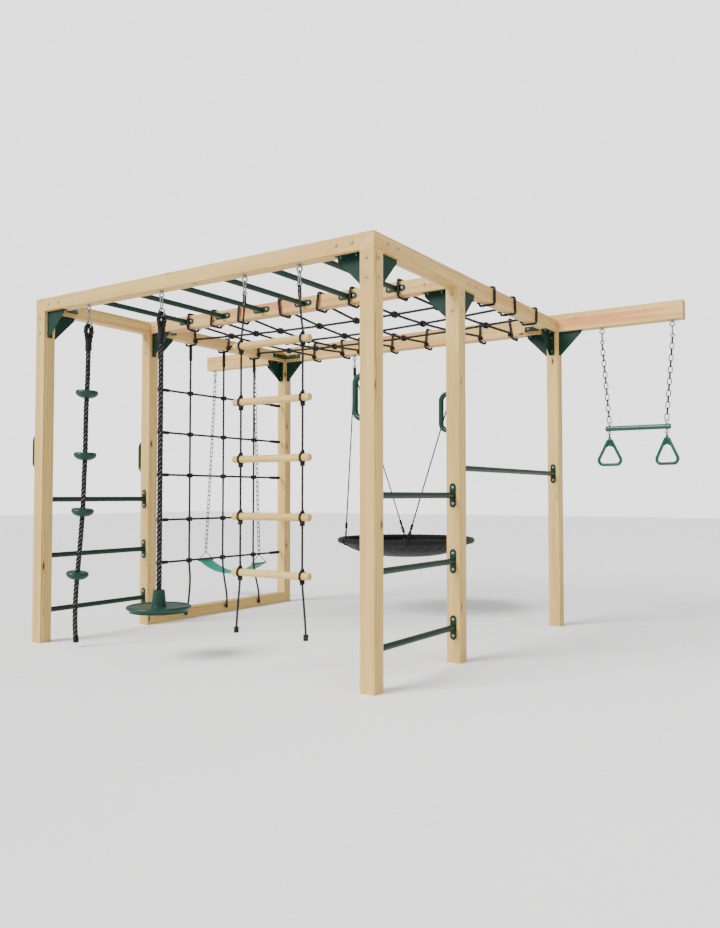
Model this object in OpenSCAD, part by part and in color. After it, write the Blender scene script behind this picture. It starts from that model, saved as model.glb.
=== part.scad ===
// Timber climbing frame: monkey bars, ladders, climbing nets and hanging toys.
// Millimetres. +Z is up, +X to the right, +Y from the front beam to the rear beam.
// Inside the modules X runs from the outer face of the left posts and Y from the
// front face of the front posts; placed() moves both to the part's origin.

/* [Timber frame] */
// Side of the square posts and beams
timber = 80; // [70:1:95]
// Width across the left and right posts
frame_w = 2480; // [2300:10:3000]
// Front face of the front posts to the front face of the middle posts
front_bay = 850; // [700:10:1020]
// Front face of the front posts to the front face of the rear posts
rear_post_y = 2360; // [2320:10:2900]
// Height of the posts, up to the underside of the beams
post_h = 2025; // [2025:5:2500]
// Height of the rear beam's section
rear_beam_h = 120; // [80:1:150]
// Length of the rear beam beyond the posts at each side
overhang = 825; // [820:5:1100]
// Radius of the timber's rounded edges
arris = 4; // [1:0.5:8]

/* [Steel bars] */
// Outer diameter of the steel bars
bar_d = 32; // [25:0.5:36]
// Wall of the steel bars
bar_wall = 2; // [1:0.1:4]
// Distance between two monkey bars
bar_pitch = 329; // [300:1:360]
// How far the row of monkey bars sits right of the frame's middle
bar_row_shift = 20; // [0:1:40]
// Length of a bar's end flange
flange_l = 130; // [115:1:150]
// Width of a bar's end flange
flange_w = 36; // [36:0.5:45]
// Thickness of a bar's end flange
flange_t = 4; // [2:0.5:6]
// Distance between a flange's two bolts
flange_bolt_gap = 86; // [80:1:90]
// Heights of the right ladder's bars
right_ladder_z = [189, 542, 895];
// Heights of the left ladder's bars
left_ladder_z = [190, 524, 870];
// Height of the single bar on the right of the rear bay
high_bar_z = 1044; // [950:1:1300]

/* [Brackets and bolts] */
// Length of a bracket's legs
bracket_leg = 160; // [140:1:180]
// Width of a bracket's flanges
bracket_w = 34; // [30:1:50]
// Thickness of the bracket plate
bracket_t = 3; // [2:0.5:6]
// Distance from a bracket's corner to its nearer bolt
bracket_bolt_near = 42; // [35:1:55]
// Distance from a bracket's corner to its farther bolt
bracket_bolt_far = 132; // [105:1:135]
// Diameter of a bolt's domed head
bolt_head_d = 18; // [14:0.5:20]
// Height of a bolt's domed head
bolt_head_h = 6; // [4:0.5:10]
// Diameter of a bolt's shank
bolt_d = 8; // [6:0.5:10]
// Width of a bracket nut across its corners
nut_d = 15; // [13:0.5:16]
// Height of a bracket nut
nut_h = 6; // [4:0.5:10]

/* [Hand grips] */
// Length of a hand grip along the post
grip_l = 225; // [180:1:280]
// How far a grip's bar axis stands off the post
grip_out = 50; // [44:1:60]
// Diameter of a grip's bar
grip_d = 28; // [22:0.5:32]
// Height of the right grips' middle
right_grip_z = 1350; // [1000:5:1600]
// Height of the left grips' middle
left_grip_z = 1165; // [1000:5:1600]

/* [Hangers] */
// Radius of a hanger eye, to the middle of its wire
eye_r = 15; // [13:0.5:20]
// Wire diameter of the hanger eyes
eye_wire = 8; // [7:0.5:9]
// Length of a hanger eye's neck below the beam
eye_neck = 8; // [4:1:20]
// Wire diameter of the links that hang in the eyes
link_wire = 7; // [5:0.5:8]
// Distance between the two bows of a long snap link
long_link = 56; // [46:1:90]
// Distance between the two bows of a short link
short_link = 46; // [36:1:60]

/* [Climbing rope and disc swing] */
// Diameter of the climbing rope and of the disc swing's rope
rope_d = 31; // [26:0.5:34]
// Diameter of the foot discs on the climbing rope
foot_disc_d = 130; // [100:1:160]
// Height of the foot discs
foot_disc_h = 50; // [40:1:60]
// Climbing rope's hook, from the left side of the frame
climb_x = 448; // [420:1:480]
// Disc swing's hook, from the left side of the frame
disc_x = 1062; // [1000:1:1150]
// Diameter of the disc swing's seat
seat_d = 350; // [280:1:400]
// Thickness of the seat at its rim
seat_t = 34; // [26:1:45]
// Height of the seat's underside above the ground
seat_z = 262; // [250:1:350]
// Height of the seat's hub above its top face
hub_h = 84; // [60:1:100]

/* [Rope ladder] */
// Middle of the rope ladder, from the left side of the frame
ladder_x = 1845; // [1700:1:1900]
// Distance between the ladder's two hooks
ladder_eye_gap = 354; // [340:1:380]
// Distance between the ladder's two ropes at the rungs
ladder_rope_gap = 396; // [380:1:410]
// Diameter of the ladder's ropes
ladder_rope_d = 12; // [8:0.5:16]
// Diameter of the wooden rungs
rung_d = 37; // [30:0.5:45]
// Length of the wooden rungs
rung_l = 490; // [450:1:520]
// Heights of the wooden rungs
rung_z = [1658, 1370, 1078, 788, 505];

/* [Nets] */
// Diameter of the net ropes
net_rope_d = 14; // [10:0.5:14]
// Diameter of the net's knots
knot_d = 40; // [30:1:44]
// Diameter of a spliced eye on a net rope
splice_d = 25; // [18:1:30]
// Length of a spliced eye
splice_l = 115; // [80:1:130]
// How far the overhead net sags below its edges
net_sag = 38; // [0:1:60]
// Heights of the wall net's level ropes
wall_row_z = [1650, 1345, 1042, 720, 417];

/* [Belt swing] */
// Middle of the belt swing's hooks, from the left side of the frame
belt_x = -527; // [-560:1:-480]
// Distance between the belt swing's hooks
belt_eye_gap = 470; // [420:1:520]
// Distance between the two ends of the belt
belt_span = 630; // [560:1:640]
// How far the belt hangs left of its hooks' middle
belt_shift = 22; // [0:1:40]
// Height of the belt's ends above the ground
belt_z = 300; // [280:1:500]
// How far the belt hangs below its ends
belt_sag = 92; // [70:1:150]
// Width of the belt
belt_w = 150; // [120:1:180]
// Thickness of the belt
belt_t = 10; // [6:0.5:14]

/* [Nest swing] */
// Distance between the nest swing's hooks
nest_eye_gap = 950; // [850:5:1050]
// Radius of the nest's steel ring, to the middle of its tube
nest_r = 505; // [450:5:520]
// Diameter of the ring's tube
nest_tube_d = 32; // [25:1:38]
// Height of the ring above the ground
nest_z = 552; // [450:1:600]
// How far the cover hangs below the ring
nest_depth = 112; // [80:1:150]
// Thickness of the cover
cover_t = 6; // [3:0.5:8]
// Diameter of the nest's ropes
nest_rope_d = 8; // [6:0.5:12]
// Direction of the nest's ropes round its ring, from the beam's line
nest_rope_angle = 58; // [40:1:65]

/* [Trapeze] */
// Middle of the trapeze, from the right side of the frame
trapeze_x = 525; // [500:1:540]
// Distance between the trapeze's hooks
trapeze_eye_gap = 456; // [430:1:480]
// Length of the trapeze bar
trapeze_l = 420; // [400:1:450]
// Diameter of the trapeze bar
trapeze_d = 34; // [28:0.5:38]
// Height of the trapeze bar
trapeze_z = 1340; // [1200:5:1500]
// Distance between the eye bolts through the trapeze bar
trapeze_bolt_gap = 370; // [360:1:380]
// Width of a hand ring between the middles of its lower corners
ring_w = 86; // [70:1:100]
// Height of a hand ring between its corner middles
ring_h = 118; // [100:1:140]
// Diameter of a hand ring's tube
ring_d = 20; // [16:0.5:22]
// How far the right hand ring is turned towards the front beam
right_ring_turn = 16; // [0:1:30]

/* [Hidden] */
$fn = 48;

pine = [0.87, 0.76, 0.55];
green = [0.04, 0.20, 0.14];
plastic_green = [0.10, 0.36, 0.24];
teal = [0.05, 0.50, 0.45];
zinc = [0.72, 0.73, 0.74];
black = [0.05, 0.05, 0.05];

clear = 0.3;              // gap between a soft piece and its neighbour
hang_gap = 0.4;           // gap between a wire and the bow that hangs on it
weld = 2;                 // how far welded or moulded pieces run into each other
beam_z = post_h + timber / 2;
inner_x = frame_w - timber;
mid_y = front_bay + timber / 2;
rear_y = rear_post_y + timber / 2;
net_z = post_h + 26;
lash = net_rope_d + clear;
bar_clear = bar_d / 2 + (flange_bolt_gap - bolt_head_d) / 2;

// the origin is under the middle of the box, which the disc seat closes at the
// front, the nest at the back and the belt's end or the rear beam at the sides
belt_rod_d = 7;
belt_tube_d = belt_rod_d + 11;
belt_mid_x = belt_x - belt_shift;
box_left = min(-overhang, belt_mid_x - belt_span / 2 - belt_tube_d / 2);
box_right = frame_w + overhang;
nest_sleeve_r = nest_tube_d / 2 + clear + cover_t;
nest_x = frame_w / 2;
box_front = timber / 2 - seat_d / 2;
box_back = rear_y + nest_r + nest_sleeve_r;
module placed() {
    translate([-(box_left + box_right) / 2, -(box_front + box_back) / 2, 0]) children();
}

// where the hanger eyes are, and the axis that everything swings about
swing_z = post_h - eye_neck - eye_wire / 2 - 2 * eye_r + weld;
bow_r = eye_wire / 2 + hang_gap + link_wire / 2;
climb_eye = [climb_x, timber / 2];
disc_eye = [disc_x, timber / 2];
ladder_eyes = [for (s = [-1, 1]) [ladder_x + s * ladder_eye_gap / 2, timber / 2]];
belt_eyes = [for (s = [-1, 1]) [belt_x + s * belt_eye_gap / 2, rear_y]];
nest_eyes = [for (s = [-1, 1]) [nest_x + s * nest_eye_gap / 2, rear_y]];
trapeze_mid_x = frame_w + trapeze_x;
trapeze_eyes = [for (s = [-1, 1]) [trapeze_mid_x + s * trapeze_eye_gap / 2, rear_y]];
all_eyes = concat([climb_eye, disc_eye], ladder_eyes, belt_eyes, nest_eyes, trapeze_eyes);

// middle of the bottom wire of the ring that hangs in a long or a short link
ring_r = 22;
small_ring_r = 12;
long_drop = swing_z - long_link - 2 * ring_r;
short_drop = swing_z - short_link - 2 * small_ring_r;
rope_over_ring = 9;       // how far a rope's end reaches above the ring's bottom wire

// climbing rope: sideways shift from its hook and height of each point below its
// ring, or above the ground from the first foot disc down; the foot discs sit
// between the pairs of points listed in disc_pairs
climb_route = [
    [0, long_drop + rope_over_ring], [0, 1817], [0, 1757], [-2, 1650], [-6, 1541], [-12, 1441],
        [-15, 1355], [-16, 1270],
    [-17, 1174], [-21, 1074], [-25, 1000], [-28, 920], [-31, 843], [-40, 743], [-48, 660],
    [-58, 570], [-70, 470], [-82, 370], [-89, 280], [-92, 190], [-89, 100], [-80, 30]
];
disc_pairs = [4, 8, 12, 16];
// ladder ropes: outward shift from the rope's line at the rungs, and height
ladder_route = [
    [-21, short_drop + rope_over_ring], [-18, 1850], [-9, 1760], [0, 1690], [0, 1600], [0, 1510],
        [0, 1400], [0, 1300],
    [0, 1200], [0, 1100], [0, 1000], [0, 900], [0, 800], [0, 700], [0, 600], [0, 480], [8, 390],
    [18, 290], [24, 200]
];
// overhead net: where its ropes are lashed to each beam
mid_lash_x = [
    for (k = [[0, bar_clear / 2], [1, -92], [1, 144], [2, 153], [3, 118],
              [4, bar_clear / 2], [5, bar_clear / 2]]) bar_x(k[0]) + k[1]
];
rear_lash_x = [392, 675, 840, 1149, 1451, 1899, 2134];
left_lash_y = [1287, 1646, 2005];
right_lash_y = [1297, 1598, 1950];
// loose tails of the wall net, from its lowest knots to the foot of the ground rail
tail_routes = [
    [[60, 1278, 280], [94, 1230, 130], [95, 1205, 30]],
    [[60, 1640, 280], [94, 1636, 130], [95, 1632, 35]],
    [[60, 2002, 280], [94, 2008, 130], [95, 2014, 30]]
];

function bar_x(i) = frame_w / 2 + bar_row_shift + (i - 2.5) * bar_pitch;
function lerp(a, b, t) = a + (b - a) * t;
function unit(v) = v / norm(v);
// height of a rope's point that was drawn for a ring at 'drawn'
function hung(z, low, drawn) = z > 1600 && z < drawn - 20 ? z + low - drawn : z;

// ---- general shapes ----

// straight round bar between two points
module rod(a, b, d) {
    v = b - a;
    l = norm(v);
    translate(a) rotate([0, acos(v[2] / l), atan2(v[1], v[0])]) cylinder(h = l, d = d);
}

// round rope through a list of points, each but the first and the last in a knot;
// inside a knot the rope's pieces stop short of one another
module rope_run(points, d) {
    last = len(points) - 1;
    for (i = [0:last - 1]) {
        v = unit(points[i + 1] - points[i]) * (d / 2 + 2.5);
        rod(points[i] + (i == 0 ? 0 : 1) * v, points[i + 1] - (i == last - 1 ? 0 : 1) * v, d);
    }
}

// closed tube swept along points, as one polyhedron of flat faces
module swept_tube(points, d, sides = 12) {
    n = len(points);
    dirs = [for (i = [0:n - 1]) unit(points[min(i + 1, n - 1)] - points[max(i - 1, 0)])];
    rings = [
        for (i = [0:n - 1])
            let (u = unit(cross([0, 1, 0], dirs[i])), v = cross(dirs[i], u))
                for (k = [0:sides - 1]) points[i] + d / 2 * (cos(360 * k / sides) * u
                    + sin(360 * k / sides) * v)
    ];
    sides_faces = [
        for (i = [0:n - 2]) for (k = [0:sides - 1])
            let (a = i * sides + k, b = i * sides + (k + 1) % sides)
                each [[a, a + sides, b], [b, a + sides, b + sides]]
    ];
    first_cap = [[for (k = [0:sides - 1]) k]];
    last_cap = [[for (k = [0:sides - 1]) (n - 1) * sides + sides - 1 - k]];
    polyhedron(points = rings, faces = concat(sides_faces, first_cap, last_cap));
}

// timber section with rounded edges, centred
module timber_section(w, h) {
    square([w - 2 * arris, h], center = true);
    square([w, h - 2 * arris], center = true);
    for (x = [-1, 1]) for (y = [-1, 1])
        translate([x * (w / 2 - arris), y * (h / 2 - arris)]) circle(r = arris);
}

// timber along X, Y or Z from its lowest corner
module timber_x(l, h = timber) {
    translate([0, timber / 2, h / 2]) rotate([90, 0, 90]) linear_extrude(l) timber_section(timber, h);
}
module timber_y(l) {
    translate([timber / 2, l, timber / 2]) rotate([90, 0, 0]) linear_extrude(l)
        timber_section(timber, timber);
}
module timber_z(l) {
    translate([timber / 2, timber / 2, 0]) linear_extrude(l) timber_section(timber, timber);
}

// wire ring in the XY plane
module wire_ring(r, wire) {
    rotate_extrude() translate([r, 0]) circle(d = wire);
}

// long wire link in the XY plane: upper bow round the origin, lower bow at y = -l
module flat_link(l, r, wire) {
    rotate_extrude(angle = 180) translate([r, 0]) circle(d = wire);
    translate([0, -l, 0]) rotate([0, 0, 180]) rotate_extrude(angle = 180) translate([r, 0]) circle(d = wire);
    for (s = [-1, 1]) translate([s * r, 0, 0]) rotate([90, 0, 0]) cylinder(h = l, d = wire);
}

// link that swings in the YZ plane, hanging from the origin
module hanging_link(l) {
    rotate([90, 0, 90]) flat_link(l, bow_r, link_wire);
}

// link with the ring that hangs in its lower bow
module link_and_ring(l, r) {
    hanging_link(l);
    translate([0, 0, -l - r]) rotate([90, 0, 0]) wire_ring(r, eye_wire);
}

// room that a rope leaves for the ring it hangs from
module ring_room(l, r) {
    translate([0, 0, -l - r]) rotate([90, 0, 0]) wire_ring(r, eye_wire + 2 * clear);
}

module at_eye(eye) {
    translate([eye[0], eye[1], swing_z]) children();
}

// ---- timber frame ----

module post_at(x, y) {
    color(pine) translate([x, y, 0]) timber_z(post_h);
}
module post_front_right() { post_at(inner_x, 0); }
module post_front_left() { post_at(0, 0); }
module post_mid_left() { post_at(0, front_bay); }
module post_mid_right() { post_at(inner_x, front_bay); }
module post_rear_right() { post_at(inner_x, rear_post_y); }
module post_rear_left() { post_at(0, rear_post_y); }

module front_beam() {
    color(pine) translate([timber, 0, post_h]) timber_x(frame_w - 2 * timber);
}
module mid_beam() {
    color(pine) translate([0, front_bay, post_h]) timber_x(inner_x);
}
module rear_beam() {
    color(pine) translate([-overhang, rear_post_y, post_h])
        timber_x(frame_w + 2 * overhang, rear_beam_h);
}
module right_side_beam() {
    color(pine) translate([inner_x, 0, post_h]) timber_y(rear_post_y);
}
module left_front_side_beam() {
    color(pine) translate([0, 0, post_h]) timber_y(front_bay);
}
module left_rear_side_beam() {
    color(pine) translate([0, front_bay + timber, post_h]) timber_y(rear_post_y - front_bay - timber);
}
module ground_rail() {
    color(pine) translate([0, front_bay + timber, 0]) timber_y(rear_post_y - front_bay - timber);
}

// ---- steel bars with welded end flanges ----

// flange plate in the XZ plane with its long side along X, welded at y = 0
module bar_flange() {
    rotate([-90, 0, 0]) linear_extrude(flange_t) difference() {
        union() {
            square([flange_l - flange_w, flange_w], center = true);
            for (s = [-1, 1]) translate([s * (flange_l - flange_w) / 2, 0]) circle(d = flange_w);
        }
        for (s = [-1, 1]) translate([s * flange_bolt_gap / 2, 0]) circle(d = bolt_d + 1);
    }
}

// bar along Y between two timber faces; turn = 90 stands its flanges upright
module flanged_bar(x, y0, y1, z, turn) {
    l = y1 - y0;
    color(green) translate([x, y0, z]) difference() {
        union() {
            rotate([-90, 0, 0]) cylinder(h = l, d = bar_d);
            rotate([0, turn, 0]) bar_flange();
            translate([0, l - flange_t, 0]) rotate([0, turn, 0]) bar_flange();
        }
        translate([0, -1, 0]) rotate([-90, 0, 0]) cylinder(h = l + 2, d = bar_d - 2 * bar_wall);
    }
}

module monkey_bar(i) { flanged_bar(bar_x(i), timber, front_bay, beam_z, 0); }
module right_ladder_bar(i) {
    flanged_bar(frame_w - timber / 2, timber, front_bay, right_ladder_z[i], 90);
}
module left_ladder_bar(i) { flanged_bar(timber / 2, timber, front_bay, left_ladder_z[i], 90); }
module high_side_bar() {
    flanged_bar(frame_w - timber / 2, front_bay + timber, rear_post_y, high_bar_z, 90);
}

// ---- hand grips ----

// C-shaped grip on a face that looks along -X, its middle at the origin
module hand_grip() {
    bend = grip_out - grip_d / 2;
    half = grip_l / 2 - grip_d / 2;
    color(plastic_green) {
        translate([-grip_out, 0, -half + bend]) cylinder(h = 2 * (half - bend), d = grip_d);
        for (s = [-1, 1]) {
            translate([-grip_out + bend, 0, s * (half - bend)]) rotate([90, 0, 0])
                rotate([0, 0, s > 0 ? 90 : 180]) rotate_extrude(angle = 90) translate([bend, 0])
                    circle(d = grip_d);
            translate([-grip_out + bend, 0, s * half]) rotate([0, 90, 0])
                cylinder(h = grip_out - bend, d = grip_d);
        }
    }
}
module grip_front_right() { translate([inner_x, timber / 2, right_grip_z]) hand_grip(); }
module grip_mid_right() { translate([inner_x, mid_y, right_grip_z]) hand_grip(); }
module grip_front_left() { translate([0, timber / 2, left_grip_z]) hand_grip(); }
module grip_mid_left() { translate([0, mid_y, left_grip_z]) hand_grip(); }

// ---- brackets: one flange along +X, one down -Z, and a gusset plate on one side ----

// corner point and direction of each upright bracket, under a beam beside a post
upright_brackets = [
    [inner_x, timber / 2, 180], [frame_w - timber / 2, timber, 90],
    [timber, timber / 2, 0], [timber / 2, timber, 90],
    [timber, mid_y, 0], [timber / 2, front_bay + timber, 90],
    [inner_x, mid_y, 180], [frame_w - timber / 2, front_bay + timber, 90],
    [inner_x, rear_y, 180], [frame_w - timber / 2, rear_post_y, -90], [frame_w, rear_y, 0],
    [timber / 2, rear_post_y, -90], [timber, rear_y, 0], [0, rear_y, 180]
];
// corner point and direction of each level bracket, in a corner between two beams
level_brackets = [
    [timber, timber, 0], [inner_x, timber, 90],
    [timber, front_bay + timber, 0], [inner_x, front_bay + timber, 90],
    [timber, rear_post_y, -90], [inner_x, rear_post_y, 180]
];
bracket_bolts = [bracket_bolt_near, bracket_bolt_far];

module bracket_bolt_spots() {
    for (d = bracket_bolts) {
        translate([d, 0, -bracket_t]) children();
        translate([bracket_t, 0, -d]) rotate([0, 90, 0]) mirror([0, 0, 1]) children();
    }
}

module bracket() {
    tip = 18;
    difference() {
        union() {
            translate([0, -bracket_w / 2, -bracket_t]) cube([bracket_leg, bracket_w, bracket_t]);
            translate([0, -bracket_w / 2, -bracket_leg]) cube([bracket_t, bracket_w, bracket_leg]);
            translate([0, -bracket_w / 2 + bracket_t, 0]) rotate([90, 0, 0]) linear_extrude(bracket_t)
                polygon([[0, 0], [bracket_leg, 0], [bracket_leg, -tip], [tip, -bracket_leg],
                    [0, -bracket_leg]]);
        }
        for (d = bracket_bolts) {
            translate([d, 0, -bracket_t - 1]) cylinder(h = bracket_t + 2, d = bolt_d + 1);
            translate([-1, 0, -d]) rotate([0, 90, 0]) cylinder(h = bracket_t + 2, d = bolt_d + 1);
        }
    }
}

module at_upright_brackets() {
    for (b = upright_brackets) translate([b[0], b[1], post_h]) rotate([0, 0, b[2]]) children();
}
module at_level_brackets() {
    for (b = level_brackets) translate([b[0], b[1], beam_z]) rotate([0, 0, b[2]]) rotate([90, 0, 0])
        children();
}
module post_brackets() {
    color(green) at_upright_brackets() bracket();
}
module corner_brackets() {
    color(green) at_level_brackets() bracket();
}

// nut on the inside of a bracket flange, with the bolt's end through it
module nut() {
    translate([0, 0, -nut_h]) cylinder(h = nut_h, d = nut_d, $fn = 6);
    translate([0, 0, -nut_h - 4]) cylinder(h = nut_h, d = bolt_d);
}
module bracket_nuts() {
    color(zinc) {
        at_upright_brackets() bracket_bolt_spots() nut();
        at_level_brackets() bracket_bolt_spots() nut();
    }
}

// domed head standing up from the XY plane
module domed_head() {
    dome_r = (pow(bolt_head_d / 2, 2) + pow(bolt_head_h, 2)) / (2 * bolt_head_h);
    rotate_extrude() intersection() {
        translate([0, bolt_head_h - dome_r]) circle(r = dome_r);
        square([bolt_head_d, bolt_head_h]);
    }
}

// heads of the bracket bolts, on the far side of the timber
module frame_bolts() {
    color(zinc) {
        for (b = upright_brackets) translate([b[0], b[1], post_h]) rotate([0, 0, b[2]])
            for (d = bracket_bolts) {
                over = b[1] == rear_y ? rear_beam_h : timber;
                translate([d, 0, over]) domed_head();
                // back-to-back brackets on a rear post share a stud, with a nut at each end
                if (b[1] != rear_y) translate([-timber, 0, -d]) rotate([0, -90, 0]) domed_head();
            }
        for (b = level_brackets) translate([b[0], b[1], beam_z]) rotate([0, 0, b[2]])
            for (d = bracket_bolts) {
                translate([d, -timber, 0]) rotate([90, 0, 0]) domed_head();
                translate([-timber, d, 0]) rotate([0, -90, 0]) domed_head();
            }
    }
}

// bolt through a bar's flange: head on the flange, shank down to the timber
module flange_bolt_pair(turn) {
    rotate([0, turn, 0]) for (s = [-1, 1]) translate([s * flange_bolt_gap / 2, 0, 0]) rotate([-90, 0, 0]) {
        translate([0, 0, flange_t]) domed_head();
        cylinder(h = flange_t, d = bolt_d);
    }
}
module bar_end_bolts(x, y0, y1, z, turn) {
    translate([x, y0, z]) flange_bolt_pair(turn);
    translate([x, y1, z]) mirror([0, 1, 0]) flange_bolt_pair(turn);
}
module bar_bolts() {
    color(zinc) {
        for (i = [0:5]) bar_end_bolts(bar_x(i), timber, front_bay, beam_z, 0);
        for (z = right_ladder_z) bar_end_bolts(frame_w - timber / 2, timber, front_bay, z, 90);
        for (z = left_ladder_z) bar_end_bolts(timber / 2, timber, front_bay, z, 90);
        bar_end_bolts(frame_w - timber / 2, front_bay + timber, rear_post_y, high_bar_z, 90);
    }
}

// ---- hanger eyes under the beams ----

module hanger_eyes() {
    color(zinc) for (eye = all_eyes) at_eye(eye) {
        translate([0, 0, eye_r]) rotate([90, 0, 0]) wire_ring(eye_r, eye_wire);
        translate([0, 0, 2 * eye_r]) cylinder(h = post_h - swing_z - 2 * eye_r, d = eye_wire + 2);
        translate([0, 0, post_h - swing_z - 3]) cylinder(h = 3, d = 30);
    }
}

// ---- nets ----

net_y0 = front_bay + timber + lash + clear;
net_y1 = rear_post_y - lash - clear;
net_x0 = timber + lash + clear;
net_x1 = inner_x - lash - clear;

function sag_at(x, y) = net_sag * sin(180 * (x - net_x0) / (net_x1 - net_x0))
    * sin(180 * (y - net_y0) / (net_y1 - net_y0));
function net_point(x, y) = [x, y, net_z - sag_at(x, y)];
function column_x(i, y) = lerp(mid_lash_x[i], rear_lash_x[i], (y - net_y0) / (net_y1 - net_y0));
function row_y(j, x) = lerp(left_lash_y[j], right_lash_y[j], (x - net_x0) / (net_x1 - net_x0));
function net_knot(i, j) = let (y = row_y(j, (mid_lash_x[i] + rear_lash_x[i]) / 2))
    net_point(column_x(i, y), y);

module overhead_net() {
    color(black) {
        for (i = [0:6]) rope_run(concat([net_point(mid_lash_x[i], net_y0)],
            [for (j = [0:2]) net_knot(i, j)], [net_point(rear_lash_x[i], net_y1)]), net_rope_d);
        for (j = [0:2]) rope_run(concat([net_point(net_x0, left_lash_y[j])],
            [for (i = [0:6]) net_knot(i, j)], [net_point(net_x1, right_lash_y[j])]), net_rope_d);
        for (i = [0:6]) for (j = [0:2]) translate(net_knot(i, j)) rotate([0, 0, 45]) sphere(d = knot_d);
    }
}

// rope lashed once round a beam section w by h, standing off its front by gap
module lashing(w, h, gap = 0) {
    difference() {
        translate([-lash - gap, -lash]) square([w + 2 * lash + gap, h + 2 * lash]);
        translate([-clear - gap, -clear]) square([w + 2 * clear + gap, h + 2 * clear]);
    }
}
module lashing_across_x(x, y, h, gap = 0) {
    translate([x - net_rope_d / 2, y, post_h]) rotate([90, 0, 90]) linear_extrude(net_rope_d)
        lashing(timber, h, gap);
}
module lashing_across_y(x, y) {
    translate([x, y + net_rope_d / 2, post_h]) rotate([90, 0, 0]) linear_extrude(net_rope_d)
        lashing(timber, timber);
}
module net_lashings() {
    color(black) {
        for (x = mid_lash_x) lashing_across_x(x, front_bay, timber, flange_t);
        for (x = rear_lash_x) lashing_across_x(x, rear_post_y, rear_beam_h);
        for (y = left_lash_y) lashing_across_y(0, y);
        for (y = right_lash_y) lashing_across_y(inner_x, y);
    }
}

wall_x = timber / 2;
wall_top = post_h - lash - clear;
wall_eye_out = 26;
wall_y0 = front_bay + timber + wall_eye_out + clear;
wall_y1 = rear_post_y - wall_eye_out - clear;

module wall_net() {
    color(black) {
        for (j = [0:2]) {
            y = left_lash_y[j];
            rope_run(concat([[wall_x, y, wall_top - splice_l / 2]], [for (z = wall_row_z) [wall_x, y, z]],
                [tail_routes[j][0]]), net_rope_d);
            for (k = [0, 1]) rod(tail_routes[j][k], tail_routes[j][k + 1], net_rope_d);
            rod([wall_x, y, wall_top], [wall_x, y, wall_top - splice_l], splice_d);
            for (z = wall_row_z) translate([wall_x, y, z]) sphere(d = knot_d);
            for (k = [0, 1]) translate(tail_routes[j][k]) sphere(d = net_rope_d + 2);
        }
        for (z = wall_row_z) {
            rope_run(concat([[wall_x, wall_y0 + splice_l / 2, z]], [for (y = left_lash_y) [wall_x, y, z]],
                [[wall_x, wall_y1 - splice_l / 2, z]]), net_rope_d);
            rod([wall_x, wall_y0, z], [wall_x, wall_y0 + splice_l, z], splice_d);
            rod([wall_x, wall_y1 - splice_l, z], [wall_x, wall_y1, z], splice_d);
        }
    }
}

// screw eyes that hold the wall net's level ropes to the posts
module wall_net_eyes() {
    eye = 7;
    wire = 4;
    neck = wall_eye_out - 2 * eye - wire;
    color(zinc) for (z = wall_row_z) for (side = [[front_bay + timber, 1], [rear_post_y, -1]])
        translate([wall_x, side[0], z]) mirror([0, side[1] < 0 ? 1 : 0, 0]) {
            rotate([-90, 0, 0]) cylinder(h = neck + wire, d = wire);
            translate([0, wall_eye_out - eye - wire / 2, 0]) wire_ring(eye, wire);
        }
}

// ---- climbing rope ----

function climb_point(p) = [climb_x + p[0], timber / 2, hung(p[1], long_drop, 1885)];

module climbing_rope() {
    color(black) difference() {
        swept_tube([for (p = climb_route) climb_point(p)], rope_d);
        at_eye(climb_eye) ring_room(long_link, ring_r);
    }
}

// foot disc along Z, flat on top and bowl-shaped below, with its bore for the rope
module foot_disc() {
    r = foot_disc_d / 2;
    h = foot_disc_h;
    bore = rope_d / 2 + hang_gap;
    top = h * 0.3;
    rotate_extrude() difference() {
        union() {
            translate([0, -top]) square([r - top, 2 * top]);
            translate([r - top, 0]) circle(r = top);
            intersection() {
                translate([0, h - top - r * 1.35]) circle(r = r * 1.35, $fn = 96);
                translate([0, -top]) square([r - top, 2 * top]);
            }
            polygon(concat([[0, 0]], [for (a = [0:10:90]) [r * cos(a), -(h - top) * sin(a)]]));
        }
        translate([-1, -h]) square([bore + 1, 2 * h]);
    }
}
module foot_discs() {
    color(plastic_green) for (k = disc_pairs) {
        a = climb_point(climb_route[k]);
        b = climb_point(climb_route[k + 1]);
        v = unit(a - b);
        translate((a + b) / 2) rotate([0, atan2(v[0], v[2]), 0]) translate([0, 0, foot_disc_h * 0.2])
            foot_disc();
    }
}
module climbing_rope_link() {
    color(zinc) at_eye(climb_eye) link_and_ring(long_link, ring_r);
}

// ---- disc swing ----

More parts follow.
